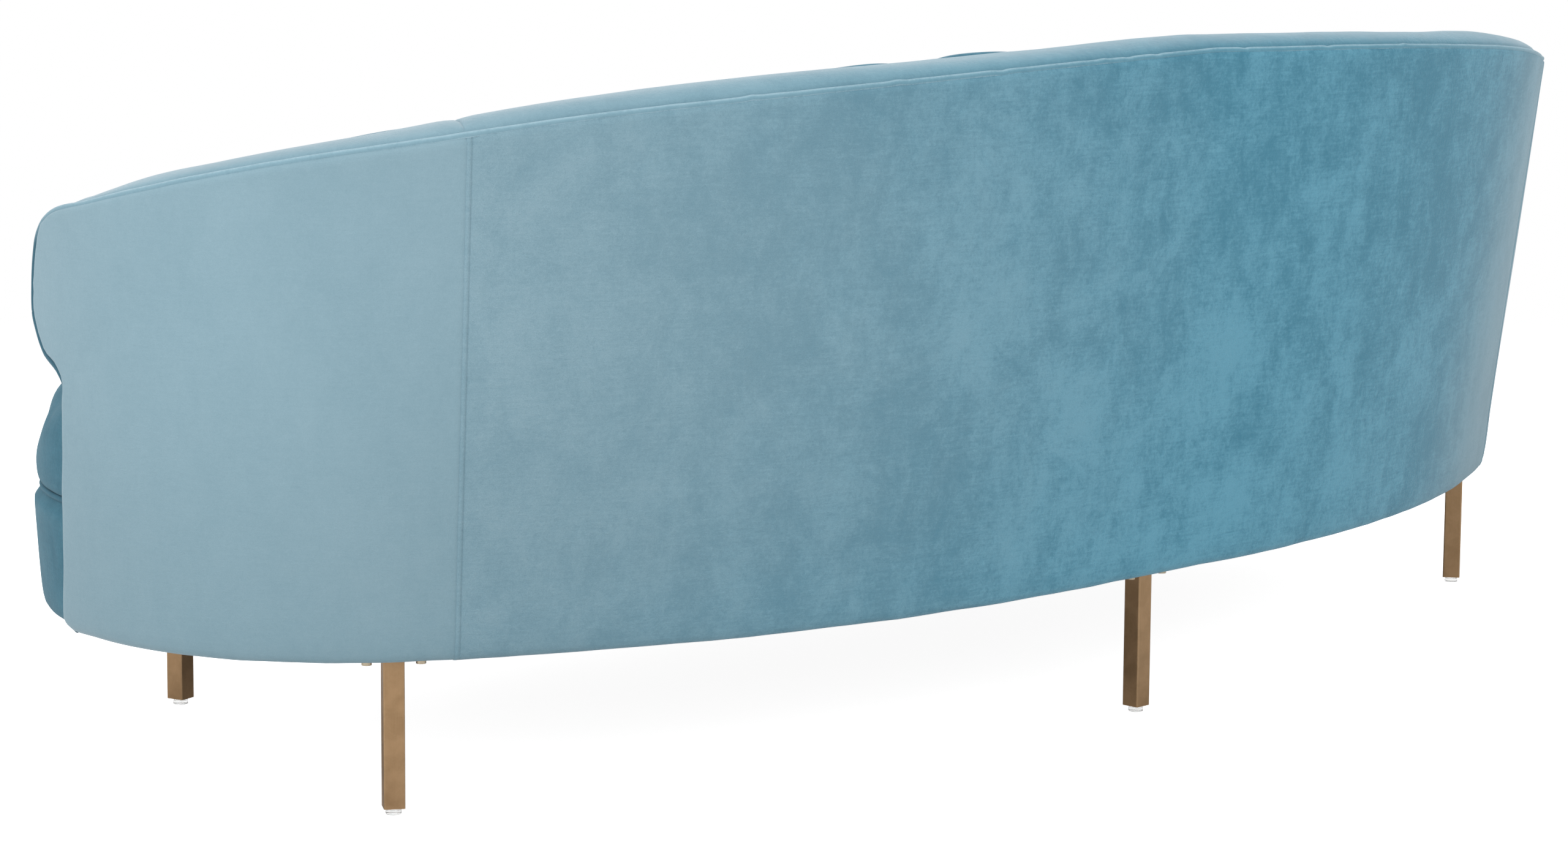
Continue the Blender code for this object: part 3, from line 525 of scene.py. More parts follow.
def brass(name):
    """Antique brass, brushed finely along the tube, with soft clouds of tarnish and rubbed edges."""
    m = Maker(name)
    brushed = m.clouds(1500.0, 2.0, 0.6, 0.0, m.stretched((1.0, 1.0, 0.03)))
    clouds = m.clouds(55.0, 5.0, 0.6, 0.4)
    spots = m.clouds(420.0, 3.0, 0.7)
    shade = m.mix(m.ramp(clouds, 0.30, 0.72), (0.345, 0.215, 0.112), (0.425, 0.270, 0.147))
    shade = m.mix(m.ramp(brushed, 0.35, 0.75, 0.0, 0.10), shade, (0.52, 0.36, 0.22))
    shade = m.mix(m.ramp(spots, 0.62, 0.78, 0.0, 0.35), shade, (0.20, 0.12, 0.06))
    edge = m.fed("ShaderNodeBevel", {"Radius": 0.0010}, samples=4)
    flat = m.add("ShaderNodeNewGeometry")
    normals = {0: edge.outputs["Normal"], 1: flat.outputs["Normal"]}
    bend = m.fed("ShaderNodeVectorMath", normals, operation="DOT_PRODUCT")
    bright_edge_share = m.ramp(bend.outputs["Value"], 0.90, 0.985, 1.0, 0.0)
    shade = m.mix(m.times(bright_edge_share, 0.45), shade, (0.66, 0.50, 0.33))
    m.set(Base_Color=shade, Metallic=1.0, Roughness=m.ramp(clouds, 0.3, 0.7, 0.34, 0.46))
    m.set(Normal=m.bump(brushed, 0.00012, 0.25))
    return m.material


def metal(name, colour, rough):
    m = Maker(name)
    spots = m.clouds(300.0, 3.0, 0.6)
    m.set(Base_Color=m.mix(m.ramp(spots, 0.3, 0.7), colour, tuple(c * 0.8 for c in colour)))
    m.set(Metallic=1.0, Roughness=m.ramp(spots, 0.3, 0.7, rough, rough + 0.12))
    return m.material


def clear_plastic(name):
    m = Maker(name)
    haze = m.clouds(500.0, 2.0, 0.5)
    m.set(Base_Color=(0.93, 0.94, 0.94, 1.0), IOR=1.49)
    m.set(Roughness=m.ramp(haze, 0.3, 0.7, 0.06, 0.16), Transmission_Weight=0.85)
    return m.material


def plywood(name):
    m = Maker(name)
    plies = m.clouds(260.0, 2.0, 0.5, 0.0, m.stretched((0.05, 0.05, 2.4)))
    grain = m.clouds(30.0, 6.0, 0.65, 0.6, m.stretched((0.25, 3.0, 3.0)))
    shade = m.mix(m.ramp(grain, 0.3, 0.7), (0.52, 0.36, 0.20), (0.66, 0.49, 0.30))
    shade = m.mix(m.ramp(plies, 0.45, 0.6, 0.0, 0.35), shade, (0.36, 0.24, 0.13))
    m.set(Base_Color=shade, Roughness=0.72, Normal=m.bump(grain, 0.0006, 0.5))
    return m.material


def woven(name, colour, scale):
    m = Maker(name)
    threads = {"Vector": m.place, "Scale": scale}
    rows = m.fed("ShaderNodeTexWave", threads, wave_type="BANDS", bands_direction="X")
    lines = m.fed("ShaderNodeTexWave", threads, wave_type="BANDS", bands_direction="Y")
    weave = m.times(rows.outputs["Fac"], lines.outputs["Fac"])
    fuzz = m.clouds(420.0, 3.0, 0.6)
    light = tuple(min(1.0, c * 1.6 + 0.01) for c in colour)
    m.set(Base_Color=m.mix(m.ramp(m.plus(weave, fuzz), 0.4, 1.3), colour, light))
    m.set(Roughness=0.9, Normal=m.bump(weave, 0.0004, 0.6))
    return m.material


def non_woven(name, colour):
    m = Maker(name)
    fibres = m.clouds(340.0, 4.0, 0.7, 1.2)
    dots = m.fed("ShaderNodeTexVoronoi", {"Vector": m.place, "Scale": 420.0})
    spots = m.ramp(dots.outputs["Distance"], 0.1, 0.45)
    light = tuple(c * 2.2 + 0.01 for c in colour)
    m.set(Base_Color=m.mix(m.times(m.ramp(fibres, 0.3, 0.7), spots), colour, light))
    m.set(Roughness=0.85, Normal=m.bump(spots, 0.0002, 0.6))
    return m.material


def foam(name):
    m = Maker(name)
    cells = m.clouds(700.0, 3.0, 0.7)
    m.set(Base_Color=m.mix(m.ramp(cells, 0.3, 0.7), (0.70, 0.66, 0.50), (0.84, 0.81, 0.68)))
    m.set(Roughness=0.95, Normal=m.bump(cells, 0.0008, 0.6))
    return m.material


# The last number of back, arm and border velvet is lifted, how much painted side light each gets.
back_velvet = velvet("back velvet", (0.050, 0.212, 0.304), (0.118, 0.340, 0.456), 1.25, 1.0, 0.28, 1.0)
arm_velvet = velvet("arm velvet", (0.062, 0.215, 0.292), (0.086, 0.258, 0.342), 0.60, 1.0, 0.40, 1.0)
border_velvet = velvet("border velvet", (0.068, 0.218, 0.300), (0.104, 0.292, 0.386), 0.8, 1.6, 0.7, 0.9)
# painted shade: inside pads, seat, front band, arm-front strips and seat welt get darker copies of the one
# velvet, for parts that lie in shade
shaded_inside_velvet = velvet("inside velvet", (0.040, 0.156, 0.224), (0.076, 0.236, 0.322), 0.9, 1.4, 0.4)
front_velvet = velvet("front velvet", (0.026, 0.118, 0.172), (0.048, 0.166, 0.228), 0.9, 1.3, 0.12)
# welt velvet gets painted side light and the cord's painted highlights and painted shade
welt_velvet = velvet("welt velvet", (0.075, 0.232, 0.315), (0.115, 0.300, 0.392), 0.6, 3.0, 0.45, 0.8, True)
shaded_front_welt_velvet = velvet("front welt velvet", (0.022, 0.100, 0.148), (0.040, 0.142, 0.198), 0.6, 3.0, 0.10)
seam_thread = thread("seam thread", (0.004, 0.028, 0.042))
leg_brass = brass("antique brass")
bolt_metal = metal("bolt brass", (0.62, 0.52, 0.38), 0.28)
staple_metal = metal("staple steel", (0.70, 0.70, 0.70), 0.3)
glide_plastic = clear_plastic("glide plastic")
board_wood = plywood("board plywood")
web_cloth = woven("webbing", (0.06, 0.06, 0.065), 160.0)
cover_cloth = non_woven("cambric", (0.018, 0.018, 0.020))
deck_foam = foam("deck foam")


# Outside panels
hem_profile = (
    (0.0135, 0.0010), (0.0100, 0.0002), (0.0065, 0.0002),
    (0.0035, 0.0013), (0.0013, 0.0040), (0.0002, 0.0085),
)
hem_top = hem_profile[-1][1]


def seam_relief(run):
    """The lapped seam: two sewn grooves with a slightly raised tape between them."""
    off = seam_run - abs(run)
    groove_width = 0.0008
    groove = math.exp(-(off / groove_width) ** 2) + 0.9 * math.exp(-((off - seam_width) / groove_width) ** 2)
    tape = ease(0.0004, 0.0016, off) * (1 - ease(0.0031, 0.0043, off))
    dip = 0.0006 * math.exp(-((off - 0.0024) / 0.014) ** 2)
    return 0.0008 * tape - 0.0014 * groove - dip


def pull_relief(run, height, top):
    """Soft waves where cloth is pulled over the frame, with small gathers at the welt and the hem."""
    waves = 0.0011 * soft_noise(run * 2.6, height * 3.1, 1.0)
    waves += 0.0004 * soft_noise(run * 8.0, height * 7.0, 2.0)
    near_top = math.exp(-max(top - height, 0.0) / 0.018)
    near_hem = math.exp(-max(height - lower_edge, 0.0) / 0.022)
    gathers = 0.0009 * near_top * soft_noise(run * 26.0, height * 6.0, 3.0)
    tucks = 0.0010 * near_hem * soft_noise(run * 17.0, height * 6.0, 4.0)
    belly = 0.0010 * math.exp(-((height - lower_edge - 0.028) / 0.026) ** 2)
    return waves + gathers + tucks + belly


def hem_wave(run):
    return 0.0009 * soft_noise(run * 9.0, 0.3, 5.0) + 0.0005 * soft_noise(run * 31.0, 0.7, 6.0)


def hem_hold(rise):
    """The folded hem takes only a part of the panel's relief."""
    return 0.35 + 0.65 * ease(0.0, 0.006, rise)


seam_columns = (
    0.0002, 0.0006, 0.0010, 0.0016, 0.0024, 0.0031, 0.0037, 0.0042, 0.0047, 0.0052, 0.0058, 0.0068, 0.0090,
    0.013, 0.020, 0.030,
)
top_rows = (0.0020, 0.0032, 0.0050, 0.0080, 0.0125, 0.0190)


def outside_back():
    inner = [seam_run - d for d in reversed(seam_columns)]
    middle = spread(-inner[0], inner[0], 86)
    across = [-s for s in reversed(inner)] + middle[1:-1] + inner
    body_rows = 44
    first_top_row = len(hem_profile) + body_rows
    body_low = lower_edge + hem_top

    def place(run, row):
        top = top_edge(run)
        if row < len(hem_profile):
            inset, rise = hem_profile[row]
            height = lower_edge + rise
        elif row < first_top_row:
            share = (row - len(hem_profile) + 1) / body_rows
            height = body_low + (top - top_rows[-1] - 0.002 - body_low) * share
            inset = 0.0
        else:
            drop = top_rows[len(top_rows) - 1 - (row - first_top_row)]
            height = top - drop
            inset = 0.0024 * (1 - ease(0.0018, 0.0055, drop))
        rise = height - lower_edge
        lift = pull_relief(run, height, top) + seam_relief(run)
        height += hem_wave(run) * (1 - ease(0.0, 0.03, rise))
        return wall(run, height, inset - lift * hem_hold(rise))

    piece = cut_cloth("outside_back_velvet", across, range(first_top_row + len(top_rows)), place)
    give_thickness(piece, velvet_thickness, False)
    finish_with(piece, back_velvet)
    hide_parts("outside_back_panel")


def lengths_of(line):
    total = [0.0]
    for a, b in zip(line, line[1:]):
        total.append(total[-1] + math.hypot(b[0] - a[0], b[1] - a[1]))
    return [t / total[-1] for t in total], total[-1]


def along(line, shares, share):
    """The place at a share of a line's length."""
    k = 0
    while k < len(shares) - 2 and share > shares[k + 1]:
        k += 1
    t = (share - shares[k]) / (shares[k + 1] - shares[k])
    return between(line[k], line[k + 1], min(max(t, 0.0), 1.0))


nose_points = 150


def arm_edge(step=0.004):
    """The welt's line round the arm in run and height, up the front and back along the top to the seam."""
    rise = arm_height - lower_edge
    line = []
    for k in range(nose_points + 1):
        height = lower_edge + rise * (1 - (1 - k / nose_points) ** 1.5)
        line.append((nose_run(height), height))
    run = arm_top_run - step
    while run > seam_run:
        line.append((run, top_edge(run)))
        run -= step
    line.append((seam_run, top_edge(seam_run)))
    return line


def shrunk(line, distance):
    """A line moved towards the middle of the panel."""
    moved = []
    for k, point in enumerate(line):
        a = line[max(k - 1, 0)]
        b = line[min(k + 1, len(line) - 1)]
        dx, dz = b[0] - a[0], b[1] - a[1]
        size = math.hypot(dx, dz)
        moved.append((point[0] - dz / size * distance, point[1] + dx / size * distance))
    return moved


corner_round = 0.019


def roll_share(height):
    """How far the arm's front edge is rolled open, from none below the seat to full on the roll."""
    return ease(0.400, 0.440, height)


def opened_edge():
    """The panel's edge beside the welt, drawn back where the arm's front rolls open."""
    edge = shrunk(arm_edge(), 0.0016)
    open_edge = shrunk(arm_edge(), 0.0092)
    for k, (near, far) in enumerate(zip(edge, open_edge)):
        height = near[1]
        share = roll_share(height) * (1 - ease(0.560, 0.610, height)) if k < nose_points else 0.0
        ripple = 1 + 0.30 * soft_noise(height * 60.0, 0.2, 41.0)
        ripple += 0.15 * soft_noise(height * 150.0, 0.6, 42.0)
        edge[k] = between(near, far, share * ripple)
    return edge


def outside_arm(name, side, node):
    edge = opened_edge()
    corner_height = lower_edge + 0.94 * (arm_height - lower_edge)
    corner = min(range(nose_points), key=lambda k: abs(edge[k][1] - corner_height))
    nose = edge[:corner + 1]
    top = edge[corner:][::-1]
    nose_shares, nose_length = lengths_of(nose)
    top_shares, top_length = lengths_of(top)
    edge_gaps = (0.0, 0.0012, 0.0026, 0.0045, 0.0080, 0.014)
    starts = [d / top_length for d in (0.0002, 0.0008, 0.0016, 0.003, 0.006, 0.012, 0.022)]
    ends = [1 - d / top_length for d in edge_gaps]
    across = starts + spread(starts[-1], ends[-1], 42)[1:-1] + ends[::-1]
    low = [rise / nose_length for inset, rise in hem_profile]
    highs = [1 - d / nose_length for d in edge_gaps]
    down = low + spread(low[-1], highs[-1], 52)[1:-1] + highs[::-1]
    seam_low = (seam_run, lower_edge)
    seam_high = top[0]

    def blended(u, w):
        """Run and height between the panel's four edges."""
        left = between(seam_low, seam_high, w)
        right = along(nose, nose_shares, w)
        under = (seam_low[0] + (nose[0][0] - seam_low[0]) * u, seam_low[1])
        over = along(top, top_shares, u)
        spot = []
        for a in range(2):
            corners = (1 - u) * (1 - w) * seam_low[a] + u * (1 - w) * nose[0][a]
            corners += (1 - u) * w * seam_high[a] + u * w * nose[-1][a]
            spot.append((1 - u) * left[a] + u * right[a] + (1 - w) * under[a] + w * over[a] - corners)
        return spot

    def place(u, w):
        row = down.index(w)
        run, height = blended(u, w)
        inset = 0.0
        side_gap = (1 - u) * top_length
        edge_gap = min(side_gap, (1 - w) * nose_length)
        if row < len(hem_profile):
            inset, rise = hem_profile[row]
            height = lower_edge + rise
            edge_gap = side_gap
        if side_gap < corner_round:
            rounded = (1 - math.sqrt(1 - (1 - side_gap / corner_round) ** 2)) * corner_round
            height += rounded * math.exp(-(height - lower_edge) / 0.012)
        tuck = 0.0024 * (1 - ease(0.0, 0.0042, edge_gap))
        seam_tuck = 0.0009 * math.exp(-(u * top_length / 0.0016) ** 2)
        rise = height - lower_edge
        lift = pull_relief(run, height, top_edge(min(run, arm_top_run)))
        lift += 0.0007 * math.exp(-side_gap / 0.02) * soft_noise(height * 24.0, run * 5.0, 9.0)
        height += hem_wave(run) * (1 - ease(0.0, 0.03, rise))
        return wall(side * run, height, inset + tuck - lift * hem_hold(rise) + seam_tuck)

    piece = cut_cloth(name, across, down, place)
    give_thickness(piece, velvet_thickness, side < 0)
    finish_with(piece, arm_velvet)
    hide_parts(node)


# Welts
def cord_along(name, points, radius, sides=5):
    """Piping drawn along a path, then made a mesh with closed ends."""
    start_fresh()
    bpy.ops.curve.primitive_nurbs_path_add()
    path_object = bpy.context.object
    path_object.name = name
    path = path_object.data
    path.splines.clear()
    spline = path.splines.new("POLY")
    spline.points.add(len(points) - 1)
    for point, spot in zip(spline.points, points):
        point.co = (*spot, 1.0)
    path.bevel_depth = radius
    path.bevel_resolution = sides
    path.use_fill_caps = True
    path.twist_mode = "Z_UP"
    bpy.ops.object.convert(target="MESH")
    piece = bpy.context.object
    piece.name = name
    face_outwards(piece)
    bpy.ops.object.shade_smooth()
    return piece


kink_runs = (0.637, 0.473, 0.340, 0.190, 0.149, 0.100, -0.054, -0.200, -0.350)


def mark_welt(piece):
    """Point attributes for a cord's painted light: painted shade on its run down the arm's front edge, below
    the arm's top, and painted highlights along its two rims.
    """
    turned = piece.data.attributes.new("turned", "FLOAT", "POINT")
    fall = [arm_height - 0.012 - point.co.z for point in piece.data.vertices]
    turned.data.foreach_set("value", [0.92 * ease(0.0, 0.045, drop) for drop in fall])
    rim = piece.data.attributes.new("rim", "FLOAT", "POINT")
    # painted highlights on the lower and upper rims, found from the point's normal
    lower = [0.75 * math.exp(-((point.normal.z + 0.66) / 0.20) ** 2) for point in piece.data.vertices]
    upper = [0.40 * math.exp(-((point.normal.z - 0.80) / 0.20) ** 2) for point in piece.data.vertices]
    rim.data.foreach_set("value", [a + b for a, b in zip(lower, upper)])


def outer_welt():
    step = 0.006
    line = arm_edge(step)[:-1]
    run = line[-1][0] - step
    while run > 0.002:
        line.append((run, top_edge(run)))
        run -= step
    sunk = []
    for near, far in zip(line, shrunk(line, 0.0030)):
        share = 1 - ease(0.540, 0.606, near[1]) if near[0] > arm_top_run else 0.0
        sunk.append(between(near, far, share))
    foot = nose_run(lower_edge + corner_round)
    bottom = [(foot - corner_round * (1 - math.sin(a)), lower_edge + corner_round * (1 - math.cos(a)))
              for a in spread(0.15, 1.5, 8)]
    line = bottom + [spot for spot in sunk if spot[1] > lower_edge + corner_round]
    depth = welt_radius - 0.0004
    points = []
    for side, order in ((1.0, line), (-1.0, line[::-1])):
        for run, height in order:
            s = side * run
            deeper = 0.0030 * (1 - roll_share(height)) if run > arm_top_run - 0.02 else 0.0
            shift = 0.0004 * soft_noise(s * 14.0, height * 3.0, 11.0)
            shift += 0.0003 * soft_noise(s * 45.0, height * 40.0, 12.0)
            for kink in kink_runs:
                shift += 0.0011 * math.exp(-((s - kink) / 0.006) ** 2) * (-1.0 if kink * 100 % 2 < 1 else 1.0)
            point_out = math.exp(-((abs(s) - seam_run + 0.003) / 0.004) ** 2)
            points.append(wall(s, height + shift, depth + deeper - 0.0018 * point_out))
        if side > 0:
            points.append(wall(0.0, top_edge(0.0), depth))
    piece = cord_along("outer_welt_velvet", points, welt_radius - 0.0001, 7)
    mark_welt(piece)
    finish_with(piece, welt_velvet)
    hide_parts("outer_welt")


def seat_welt():
    start = nose_run(seat_welt_height) - back_run - 0.010
    right = []
    for q in spread(start, front_run, 150):
        wave = 0.0003 * soft_noise(q * 20.0, 0.0, 13.0)
        right.append(front(q, seat_welt_height + wave, seat_welt_inset - 0.0006))
    left = [Vector((-p.x, p.y, p.z)) for p in reversed(right[:-1])]
    piece = cord_along("seat_welt_velvet", right + left, welt_radius - 0.0001)
    finish_with(piece, shaded_front_welt_velvet)
    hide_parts("seat_welt")


# Padded border on the top edge
cap_curve = Curve(
    (0.0, 0.05, 0.14, 0.30, 0.50, 0.70, 0.86, 0.95, 1.0),
    (-0.45, 0.30, 0.66, 0.93, 1.0, 0.90, 0.58, 0.10, -0.55),
)
cap_fullness = Curve(
    (0.0, 0.30, 0.62, 0.86, 1.02, 1.14, 1.22, 1.28, 1.33),
    (1.0, 1.0, 1.18, 0.95, 0.62, 0.66, 0.80, 0.62, 0.10),
)
cap_outer = 0.0062
pad_edge = 0.0066
cap_end_run = 1.2550
border_end_run = 1.325


def tip_at(height):
    """How far the arm pad reaches over the arm's front edge."""
    return nose_run(height) + 0.004


tip_run = tip_at(arm_height - 0.002)


def border_width(run):
    """Inset of the border's inner edge, following the arm pad's edge round the tip."""
    if run <= wrap_run:
        return cap_inner + 0.0006
    share = min((run - wrap_run) / (tip_run - wrap_run), 0.965) ** (1 / 0.85)
    return pad_edge + (cap_inner - 0.0060) * (1 - share * share) ** 0.375


border_rows = (
    0.0, 0.02, 0.05, 0.09, 0.14, 0.20, 0.27, 0.35, 0.43, 0.51, 0.59, 0.67, 0.75, 0.82, 0.88, 0.93, 0.97, 1.0,
)


def border(name, runs, node):
    def place(run, across):
        full = cap_fullness(abs(run))
        inset = cap_outer + (border_width(abs(run)) - cap_outer) * across
        seam_gap = abs(abs(run) - seam_run)
        crease = 0.0034 * math.exp(-(seam_gap / 0.0016) ** 2) + 0.0016 * math.exp(-(seam_gap / 0.010) ** 2)
        gathers = 0.0009 * math.exp(-across / 0.16) * soft_noise(run * 34.0, across * 2.0, 15.0)
        gathers += 0.0010 * math.exp(-(1 - across) / 0.16) * soft_noise(run * 40.0, across * 2.0, 16.0)
        waves = 0.0016 * soft_noise(run * 5.5, across * 1.5, 17.0)
        waves += 0.0006 * soft_noise(run * 15.0, across * 3.0, 18.0)
        height = edge_height(run) + 0.0135 * cap_curve(across) * full
        height += (gathers + waves * math.sin(math.pi * across)) * min(full, 1.0)
        height -= crease * math.sin(math.pi * min(max(across, 0.06), 0.94)) ** 0.5
        return wall(run, height, inset)

    piece = cut_cloth(name, runs, border_rows, place)
    give_thickness(piece, border_thickness, runs[0] > runs[-1])
    finish_with(piece, border_velvet)
    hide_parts(node)


def borders():
    near = [0.0002, 0.0010, 0.0020, 0.0035, 0.006, 0.011, 0.018]
    inner = [seam_run - d for d in reversed(near)]
    runs = [-s for s in reversed(inner)] + spread(-inner[0], inner[0], 190)[1:-1] + inner
    border("border_back", runs, "top_cap_back")
    outward = [seam_run + d for d in near] + spread(seam_run + near[-1], border_end_run, 50)[1:]
    border("border_arm_right", outward, "top_cap_arm_right")
    border("border_arm_left", [-s for s in outward], "top_cap_arm_left")


# Padded inside: channels blown out between their sewn lines
def roll_of(run):
    """Some channels are stuffed fuller at the head than others."""
    return 0.45 + 0.65 * math.exp(-((run - 0.36) / 0.20) ** 2) - 0.15 * math.exp(-((run + 0.5) / 0.3) ** 2)


def pad_depth_at(run):
    """The pads grow thinner towards the arms' fronts."""
    return pad_depth * (1 - 0.45 * min(1.0, abs(run) / cap_end_run) ** 2)


def pad_face(run, share, puff, top):
    swell = 0.019 * puff * math.sin(math.pi * (0.12 + 0.8 * share)) ** 0.5
    roll = puff * roll_of(run) * math.exp(-((share - 0.955) / 0.06) ** 2)
    inset = pad_inner + pad_depth_at(run) * pad_curve(share) + swell + 0.022 * roll
    height = seat_line + (top - seat_line) * share + 0.0050 * puff * ease(0.72, 1.0, share) + 0.012 * roll
    return wall(run, height, inset)


def laid_by_columns(name, columns, rows):
    """A grid whose every column has its own rule for where a row lies."""
    return cut_cloth(name, columns, rows, lambda column, row: column(row))


def blown_pad(name, columns, held, node, pressure=3.0, most=0.012):
    """A closed pad whose held points stay and whose free face is blown out."""
    piece = laid_by_columns(name, columns, pad_rows)
    count = len(piece.data.vertices)
    kept = [k for k in range(count) if held(k % len(columns), k // len(columns))]
    thicken = piece.modifiers.new("pad thickness", "SOLIDIFY")
    thicken.thickness = 0.010
    thicken.offset = -1.0
    apply_all(piece)
    kept += range(count, len(piece.data.vertices))
    blow_out(
        piece, kept, most, uniform_pressure_force=pressure, mass=0.3, tension_stiffness=18.0,
        compression_stiffness=12.0, shear_stiffness=8.0, bending_stiffness=0.4,
    )
    make_finer(piece)
    bpy.ops.object.shade_smooth()
    finish_with(piece, shaded_inside_velvet)
    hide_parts(node)


def channel_list(first, last, channels, steps):
    """Run, fullness and whether it is sewn down, for each column of a channelled pad."""
    listed = []
    for k in range(channels * steps + 1):
        share = (k % steps) / steps
        puff = (1 - abs(2 * share - 1) ** 2.6) ** 0.55
        listed.append((first + (last - first) * k / (channels * steps), puff, k % steps == 0))
    return listed


pad_rows = [0.0, 0.015, 0.04] + spread(0.07, 0.93, 34) + [0.955, 0.975, 0.99, 1.0]
last_pad_row = len(pad_rows) - 1
pad_overlap = 0.0030


def fuller_by_place(puff, run, share, seed):
    return puff * (1 + 0.10 * soft_noise(run * 4.0, share * 2.0, seed))


def inside_back():
    listed = channel_list(-seam_run - pad_overlap, seam_run + pad_overlap, 10, 16)

    def column(run, puff, index):
        def place(share):
            spot = pad_face(run, share, fuller_by_place(puff, run, share, 21.0), top_edge(run))
            ripple = 0.0016 * (1 - puff) * soft_noise(run * 3.0 + index * 0.01, share * 16.0, 22.0)
            return spot + Vector((0.0, -ripple, 0.3 * ripple))
        return place

    columns = [column(run, puff, k) for k, (run, puff, sewn) in enumerate(listed)]

    def held(i, j):
        return listed[i][2] or j in (0, last_pad_row) or i in (0, len(listed) - 1)

    blown_pad("inside_back_velvet", columns, held, "inside_back_pad")


def inside_arm(name, side, node):
    listed = channel_list(seam_run - pad_overlap, wrap_run, 2, 15)
    turns = 16
    total = len(listed) + turns
    wrap_top = top_edge(wrap_run)

    def channel_column(run, puff):
        def place(share):
            return pad_face(side * run, share, fuller_by_place(puff, run, share, 21.0 + side), top_edge(run))
        return place

    def turn_column(k):
        def place(share):
            turn = math.pi / 2 * k / turns
            top = wrap_top + (arm_height - 0.002 - wrap_top) * ease(0.0, 5.0, k)
            height = seat_line + (top - seat_line) * share
            run = wrap_run + (tip_at(height) - wrap_run) * math.sin(turn) ** 0.85
            depth = pad_depth * 0.55 * pad_curve(share) + pad_inner
            return wall(side * run, height, pad_edge + (depth - pad_edge) * math.cos(turn) ** 0.75)
        return place

    columns = [channel_column(run, puff) for run, puff, sewn in listed]
    columns += [turn_column(k) for k in range(1, turns + 1)]
    if side < 0:
        columns = columns[::-1]

    def held(i, j):
        if side < 0:
            i = total - 1 - i
        sewn = i < len(listed) and listed[i][2]
        return sewn or j in (0, last_pad_row) or i in (0, total - 1)

    blown_pad(name, columns, held, node, 2.4, 0.007)


def arm_front_strip(name, side):
    """Velvet on the arm's front edge, from under the pad down behind the seat."""
    def place(inset, height):
        return wall(side * (nose_run(height) - 0.0045 - 0.10 * inset), height, inset)

    down = spread(seat_welt_height, seat_line + 0.030, 30)
    piece = cut_cloth(name, spread(0.0045, 0.0600, 12), down, place)
    give_thickness(piece, strip_thickness, side < 0)
    finish_with(piece, front_velvet)


# Seat
def close_seat(piece, across, down):
    """The sheet is closed along its rear edge, then each end gets its gusset."""
    take(piece)

    def rear_edge(edge):
        return [index // across for index in edge.vertices] in ([0, 0], [down - 1, down - 1])

    edit_chosen(piece, "edges", rear_edge)
    bpy.ops.mesh.select_mode(type="EDGE")
    bpy.ops.mesh.bridge_edge_loops()
    for side in (0, across - 1):
        edit_chosen(piece, "edges", lambda edge: all(index % across == side for index in edge.vertices))
        bpy.ops.mesh.fill()
    bpy.ops.mesh.select_mode(type="VERT")
    leave_edit()


# Inset and share of the drop, down the seat's front face
face_profile = (
    (0.0400, 0.0), (0.0320, 0.030), (0.0225, 0.085), (0.0140, 0.160), (0.0084, 0.250), (0.0046, 0.350),
    (0.0022, 0.460), (0.0004, 0.580), (-0.0010, 0.700), (-0.0018, 0.800), (-0.0020, 0.890), (-0.0010, 0.955),
    (0.0022, 1.0),
)
crown_curve = Curve(
    (0.0, 0.05, 0.14, 0.30, 0.50, 0.75, 0.90, 1.0),
    (0.0, 0.32, 0.66, 0.92, 1.0, 0.93, 0.62, 0.24),
)
seat_end_gap = 0.060
seat_column_step = 0.0175
seat_back_drop = 0.0005


